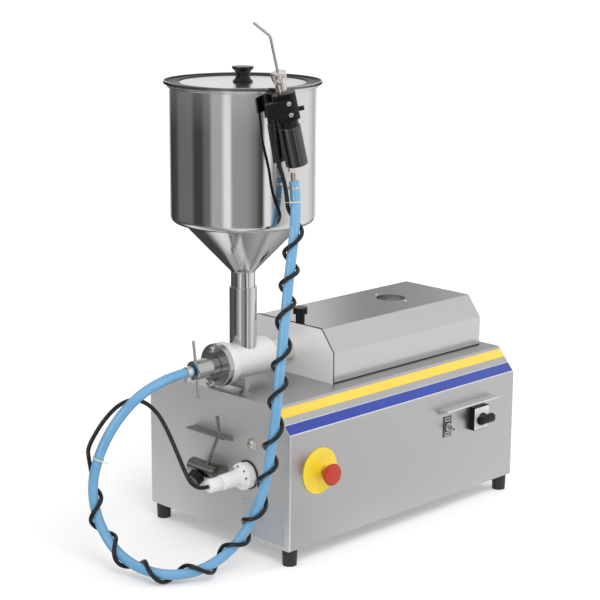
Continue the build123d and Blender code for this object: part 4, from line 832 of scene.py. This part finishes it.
def addCornerBeadHighlight():
    low, high = cornerBeadHighlight["span"]
    middle = (*cornerBeadHighlight["at"], (low + high) / 2)
    size = (cornerBeadHighlight["size"], cornerBeadHighlight["size"], (high - low) / mm)
    # the bead's bright steel is a painted highlight on the rolled corner
    fit(block("corner_bead_highlight", middle, size, cornerBeadHighlight["soft"]), "machine", "clampAndHighlightSteel")


addCornerBeadHighlight()

# Plug: a notched head with slots, a round shell, a clamping nut on the cable and a gasket on the panel; the
# slots are black blocks whose black is painted shade in the openings
plug = {
    "root": Vector((-0.290, -0.078, 0.1595)),
    "head": [
        (0, 25.5), (16.5, 25.5), (21.0, 24.2), (23.6, 21.6), (24.4, 20.6), (26.6, 20.0), (27.0, 19.2),
        (27.0, 10.0), (26.3, 9.2), (0, 9.2),
    ],
    "headSteps": 32,
    "shell": [
        (0, 72.0), (12.9, 72.0), (14.3, 71.2), (14.8, 69.6), (14.8, 66.4), (14.2, 65.8), (14.2, 64.6),
        (14.9, 63.8), (15.3, 50.0), (15.5, 36.0), (15.5, 30.5), (17.2, 27.0), (18.8, 25.2), (0, 25.2),
    ],
    "nut": [
        (0, 102.4), (8.6, 102.4), (11.4, 101.6), (12.9, 99.6), (13.4, 96.8), (13.5, 90.0), (13.5, 78.0),
        (13.1, 75.2), (12.2, 73.2), (11.4, 72.5), (0, 72.5),
    ],
    "nutSides": 12,
    "gasket": [(26.1, 0), (28.3, 0), (28.3, 2.2), (27.7, 3.0), (26.1, 3.0), (26.1, 0)],
    "roundSteps": 48,
    "crease": 25,
    "notches": (9.0, 20.4, 0.055),
    "slot": (5.6, 2.6, 1.6),
    "slotSoft": (0.3, 2),
    "slotAxes": (Vector((0, -0.6, 0.8)), Vector((0, 0.8, 0.6)), endWay),
    "slotsAt": [(3.0, 20.2), (-14.0, 14.8), (-20.2, 2.0), (15.5, 13.0)],
    "slotOut": 24.2,
}


def addPlug():
    root, crease = plug["root"], plug["crease"]
    head = turned("plug_shell", plug["head"], root, endWay, plug["headSteps"], crease, plug["notches"])
    shell = turned("plug_barrel", plug["shell"], root, endWay, plug["roundSteps"])
    nut = turned("plug_nut", plug["nut"], root, endWay, plug["nutSides"], crease)
    slots = []
    for side, rise in plug["slotsAt"]:
        middle = root + Vector((-plug["slotOut"], side, rise)) * mm
        slots.append(block("plug_slots_painted_shade", middle, plug["slot"], plug["slotSoft"], plug["slotAxes"]))
    shell = fit(joined([head, shell]), "machine", "plugWhite", ["plug_body"])
    nut = fit(nut, "machine", "plugWhite", ["plug_gland_nut"])
    # the slots' black is painted shade in the openings
    slots = fit(joined(slots), "machine", "blackPlastic")
    gasket = turned("socket_gasket", plug["gasket"], root, endWay, plug["roundSteps"])
    fit(gasket, "machine", "blackRubber")
    return [shell, nut, slots]


plugPieces = addPlug()

# Ties that hold the cable to the hose: one on the gun's branch, one on the pump's
ties = {
    "places": [("gun", 0.6905), ("pump", 0.2150)],
    "out": Vector((-0.70, -0.70, 0.0)),
    "ring": [(9.6, -1.7), (10.5, -1.7), (10.8, -1.2), (10.8, 1.2), (10.5, 1.7), (9.6, 1.7), (9.6, -1.7)],
    "ringSteps": 40,
    "head": {"size": (5.0, 4.4, 4.0), "along": -8.2, "out": 9.2, "soft": (0.5, 2)},
    "tail": {"size": (11.0, 2.2, 1.0), "along": -13.5, "out": 9.6, "soft": (0.3, 2)},
}


def tiePlace(branch, height):
    # the hose's point at a height, and its way there
    half = len(hoseLine) // 2
    line = hoseLine[:half] if branch == "pump" else hoseLine[half:]
    index = min(range(1, len(line) - 1), key=lambda i: abs(line[i].z - height))
    return line[index], (line[index + 1] - line[index - 1]).normalized()


def addTies():
    made = []
    for branch, height in ties["places"]:
        place, way = tiePlace(branch, height)
        out = (ties["out"] - way * ties["out"].dot(way)).normalized()
        axes = (way.cross(out), out, way)
        parts = [turned("cable_tie", ties["ring"], place, way, ties["ringSteps"])]
        for name in ("head", "tail"):
            part = ties[name]
            middle = place + (axes[0] * part["along"] + out * part["out"]) * mm
            parts.append(block("tie_" + name, middle, part["size"], part["soft"], axes))
        tie = joined(parts)
        tie.name = "cable_tie_" + str(len(made) + 1)
        made.append(fit(tie, "machine", "tieWhite"))
    return made


tiePieces = addTies()
print("trim fitted")

# Studio: a white floor and plain soft light, with a grey surround that only the metal mirrors
studio = {
    "fill": 0.80,
    "floorSize": 60.0,
    "floorLevel": -0.0002,
    "floorWhite": 0.88,
    "floorLift": (0.20, 0.40),
    "liftReach": (0.7, 2.2),
    "cameraSide": -133,
    "surroundAt": (-0.222, 0.008),
    "surroundRadius": 2.5,
    "surroundHeight": 3.2,
    "surroundSides": 96,
    "bandTop": (0.50, 0.95),
    "matLevel": 0.0003,
    "matShape": (0.75, 1, 1),
    "matShift": (-0.19, 0, 0),
    "matEdge": (0.22, 0.36),
    "matFar": (0.85, 1.20),
    # grey of the surround by the angle from the camera's side, in degrees to the right
    "lowBands": [
        (-180, 0.35), (-168, 0.35), (-160, 0.80), (-152, 0.05), (-126, 0.07), (-114, 0.18), (-86, 0.19),
        (-79, 0.065), (-66, 0.065), (-60, 0.165), (-52, 0.185), (-47, 0.50), (-33, 0.50), (-27, 1.0),
        (-20, 1.0), (-16, 0.40), (6, 0.36), (20, 0.20), (26, 0.07), (30, 0.09), (34, 1.0), (41, 1.0),
        (47, 0.28), (62, 0.60), (85, 0.95), (120, 0.95), (140, 0.62), (150, 0.50), (155, 1.0), (162, 1.0),
        (167, 0.35), (180, 0.35),
    ],
    "highBands": [
        (-180, 0.85), (-174, 0.85), (-165, 0.55), (-140, 0.35), (-100, 0.30), (-60, 0.45), (-20, 0.75),
        (30, 0.80), (80, 0.95), (130, 0.85), (156, 0.50), (164, 0.42), (171, 0.32), (175, 0.80), (180, 0.85),
    ],
    # the same on the floor, near the machine and further out
    "nearBands": [
        (-180, 0.06), (-130, 0.06), (-118, 0.85), (-105, 1.0), (-98, 1.0), (-90, 0.75), (-82, 0.48),
        (-60, 0.36), (-40, 0.36), (-20, 0.80), (0, 0.90), (40, 0.70), (57, 0.72), (74, 0.84), (96, 0.88),
        (107, 1.0), (130, 0.90), (150, 0.35), (165, 0.20), (180, 0.06),
    ],
    "farBands": [
        (-180, 0.06), (-140, 0.07), (-114, 0.12), (-100, 0.10), (-92, 0.15), (-79, 0.09), (-66, 0.065),
        (-60, 0.165), (-52, 0.185), (-47, 0.50), (-33, 0.50), (-27, 1.0), (-20, 1.0), (-16, 0.40),
        (6, 0.36), (20, 0.20), (26, 0.07), (30, 0.09), (34, 1.0), (41, 1.0), (47, 0.28), (62, 0.70),
        (85, 1.0), (120, 1.0), (140, 0.50), (150, 0.30), (180, 0.06),
    ],
}


def lightRoom():
    world = bpy.data.worlds.new("studioRoom")
    bpy.context.scene.world = world
    room = Finish(world)
    shown = room.tint(room.seenRay(), grey(studio["fill"]), grey(1.0))
    room.feed(room.nodes["Background"].inputs["Color"], shown)


def layFloor():
    freshStart()
    bpy.ops.mesh.primitive_plane_add(size=studio["floorSize"], location=(0, 0, studio["floorLevel"]))
    floor = bpy.context.object
    floor.name = "studio_floor"
    paint = newFinish("floorPaint")
    dull = paint.node("BsdfDiffuse", None, {"Color": grey(studio["floorWhite"])})
    lift = paint.share(paint.reach(paint.where()), *studio["liftReach"], *studio["floorLift"])
    glow = paint.node("Emission", None, {"Color": grey(1.0), "Strength": paint.seenRay() * lift})
    paint.surface(paint.node("AddShader", None, {0: dull, 1: glow}))
    floor.data.materials.append(paint.block)


def bandTone(cloth, place, bands):
    # grey by the compass angle round the hopper's axis
    east = cloth.node("SeparateXYZ", None, {0: place}, output=0)
    north = cloth.node("SeparateXYZ", None, {0: place}, output=1)
    turn = cloth.node("Math", {"operation": "ARCTAN2"}, {0: north, 1: east})
    turn = turn - math.radians(studio["cameraSide"]) + 3 * math.pi
    share = cloth.node("Math", {"operation": "FRACT"}, {0: turn / (2 * math.pi)})
    return cloth.ramp(share, [((angle + 180) / 360, tone) for angle, tone in bands])


def onlyMirrored(thing):
    thing.visible_camera = False
    thing.visible_diffuse = False
    thing.visible_shadow = False


def raiseSurround():
    freshStart()
    bpy.ops.mesh.primitive_cylinder_add(
        vertices=studio["surroundSides"], radius=studio["surroundRadius"], depth=studio["surroundHeight"],
        end_fill_type="NOTHING", location=(*studio["surroundAt"], studio["surroundHeight"] / 2),
    )
    surround = bpy.context.object
    surround.name = "studio_surround"
    cloth = newFinish("surroundCloth")
    place = cloth.node("TexCoord", output="Object")
    height = cloth.node("SeparateXYZ", None, {0: place}, output=2) + studio["surroundHeight"] / 2
    rise = cloth.share(height, *studio["bandTop"])
    low = bandTone(cloth, place, studio["lowBands"])
    high = bandTone(cloth, place, studio["highBands"])
    cloth.surface(cloth.node("Emission", None, {"Color": cloth.tint(rise, low, high)}))
    surround.data.materials.append(cloth.block)
    onlyMirrored(surround)


def layMat():
    # the floor as the metal mirrors it, clear close to the machine so that its shadow shows
    freshStart()
    bpy.ops.mesh.primitive_circle_add(
        vertices=studio["surroundSides"], radius=studio["surroundRadius"], fill_type="NGON",
        location=(*studio["surroundAt"], studio["matLevel"]),
    )
    mat = bpy.context.object
    mat.name = "studio_mat"
    cloth = newFinish("matCloth")
    place = cloth.node("TexCoord", output="Object")
    reach = cloth.reach(cloth.where(studio["matShape"], studio["matShift"]))
    near = bandTone(cloth, place, studio["nearBands"])
    far = bandTone(cloth, place, studio["farBands"])
    tone = cloth.tint(cloth.share(reach, *studio["matFar"]), near, far)
    glow = cloth.node("Emission", None, {"Color": tone})
    clear = cloth.node("BsdfTransparent")
    shown = cloth.share(reach, *studio["matEdge"])
    cloth.surface(cloth.node("MixShader", None, {0: shown, 1: clear, 2: glow}))
    mat.data.materials.append(cloth.block)
    onlyMirrored(mat)


lightRoom()
layFloor()
raiseSurround()
layMat()

# Soft lamps for the whole, and narrow ones that only put a shine on the dark and glossy pieces
lamps = {
    "keySoftbox": {"place": (-1.6, -2.6, 3.2), "aim": (0, 0, 0.4), "size": 1.8, "power": 55},
    "rightSoftbox": {"place": (2.6, -1.6, 2.4), "aim": (0, 0, 0.4), "size": 1.6, "power": 30},
}
gunMiddle = (-0.25, -0.15, 0.75)
glints = {
    "leftGlint": {"place": (-2.60, -0.40, 0.95), "aim": gunMiddle, "size": (0.16, 1.8), "power": 9},
    "rightGlint": {"place": (0.18, -2.65, 1.05), "aim": gunMiddle, "size": (0.16, 1.8), "power": 9},
    "backGlint": {"place": (-1.97, 1.85, 0.98), "aim": (-0.315, 0, 0.153), "size": (0.5, 0.14), "power": 5},
}
glossy = [
    "gun_grip", "gun_head", "switch_block", "gun_trigger", "lid_knob", "cover_knob", "clamp_knob",
    "lever_bracket", "dosing_lever",
]


def hangLamp(name, plan):
    lamp = bpy.data.lights.new(name, "AREA")
    lamp.energy = plan["power"]
    holder = bpy.data.objects.new(name, lamp)
    holder.location = plan["place"]
    way = Vector(plan["aim"]) - Vector(plan["place"])
    holder.rotation_euler = way.to_track_quat("-Z", "Y").to_euler()
    bpy.context.scene.collection.objects.link(holder)
    return holder


def hangLamps():
    for name, plan in lamps.items():
        holder = hangLamp(name, plan)
        holder.data.size = plan["size"]
        holder.visible_glossy = False


def hangGlints():
    group = bpy.data.collections.new("glossyPieces")
    for piece in [cad[name] for name in glossy] + [cable, hose]:
        group.objects.link(piece)
    for name, plan in glints.items():
        holder = hangLamp(name, plan)
        holder.data.shape = "RECTANGLE"
        holder.data.size, holder.data.size_y = plan["size"]
        holder.data.diffuse_factor = 0
        holder.light_linking.receiver_collection = group


hangLamps()
hangGlints()
bpy.context.scene.view_settings.view_transform = "Standard"
print("studio lit")
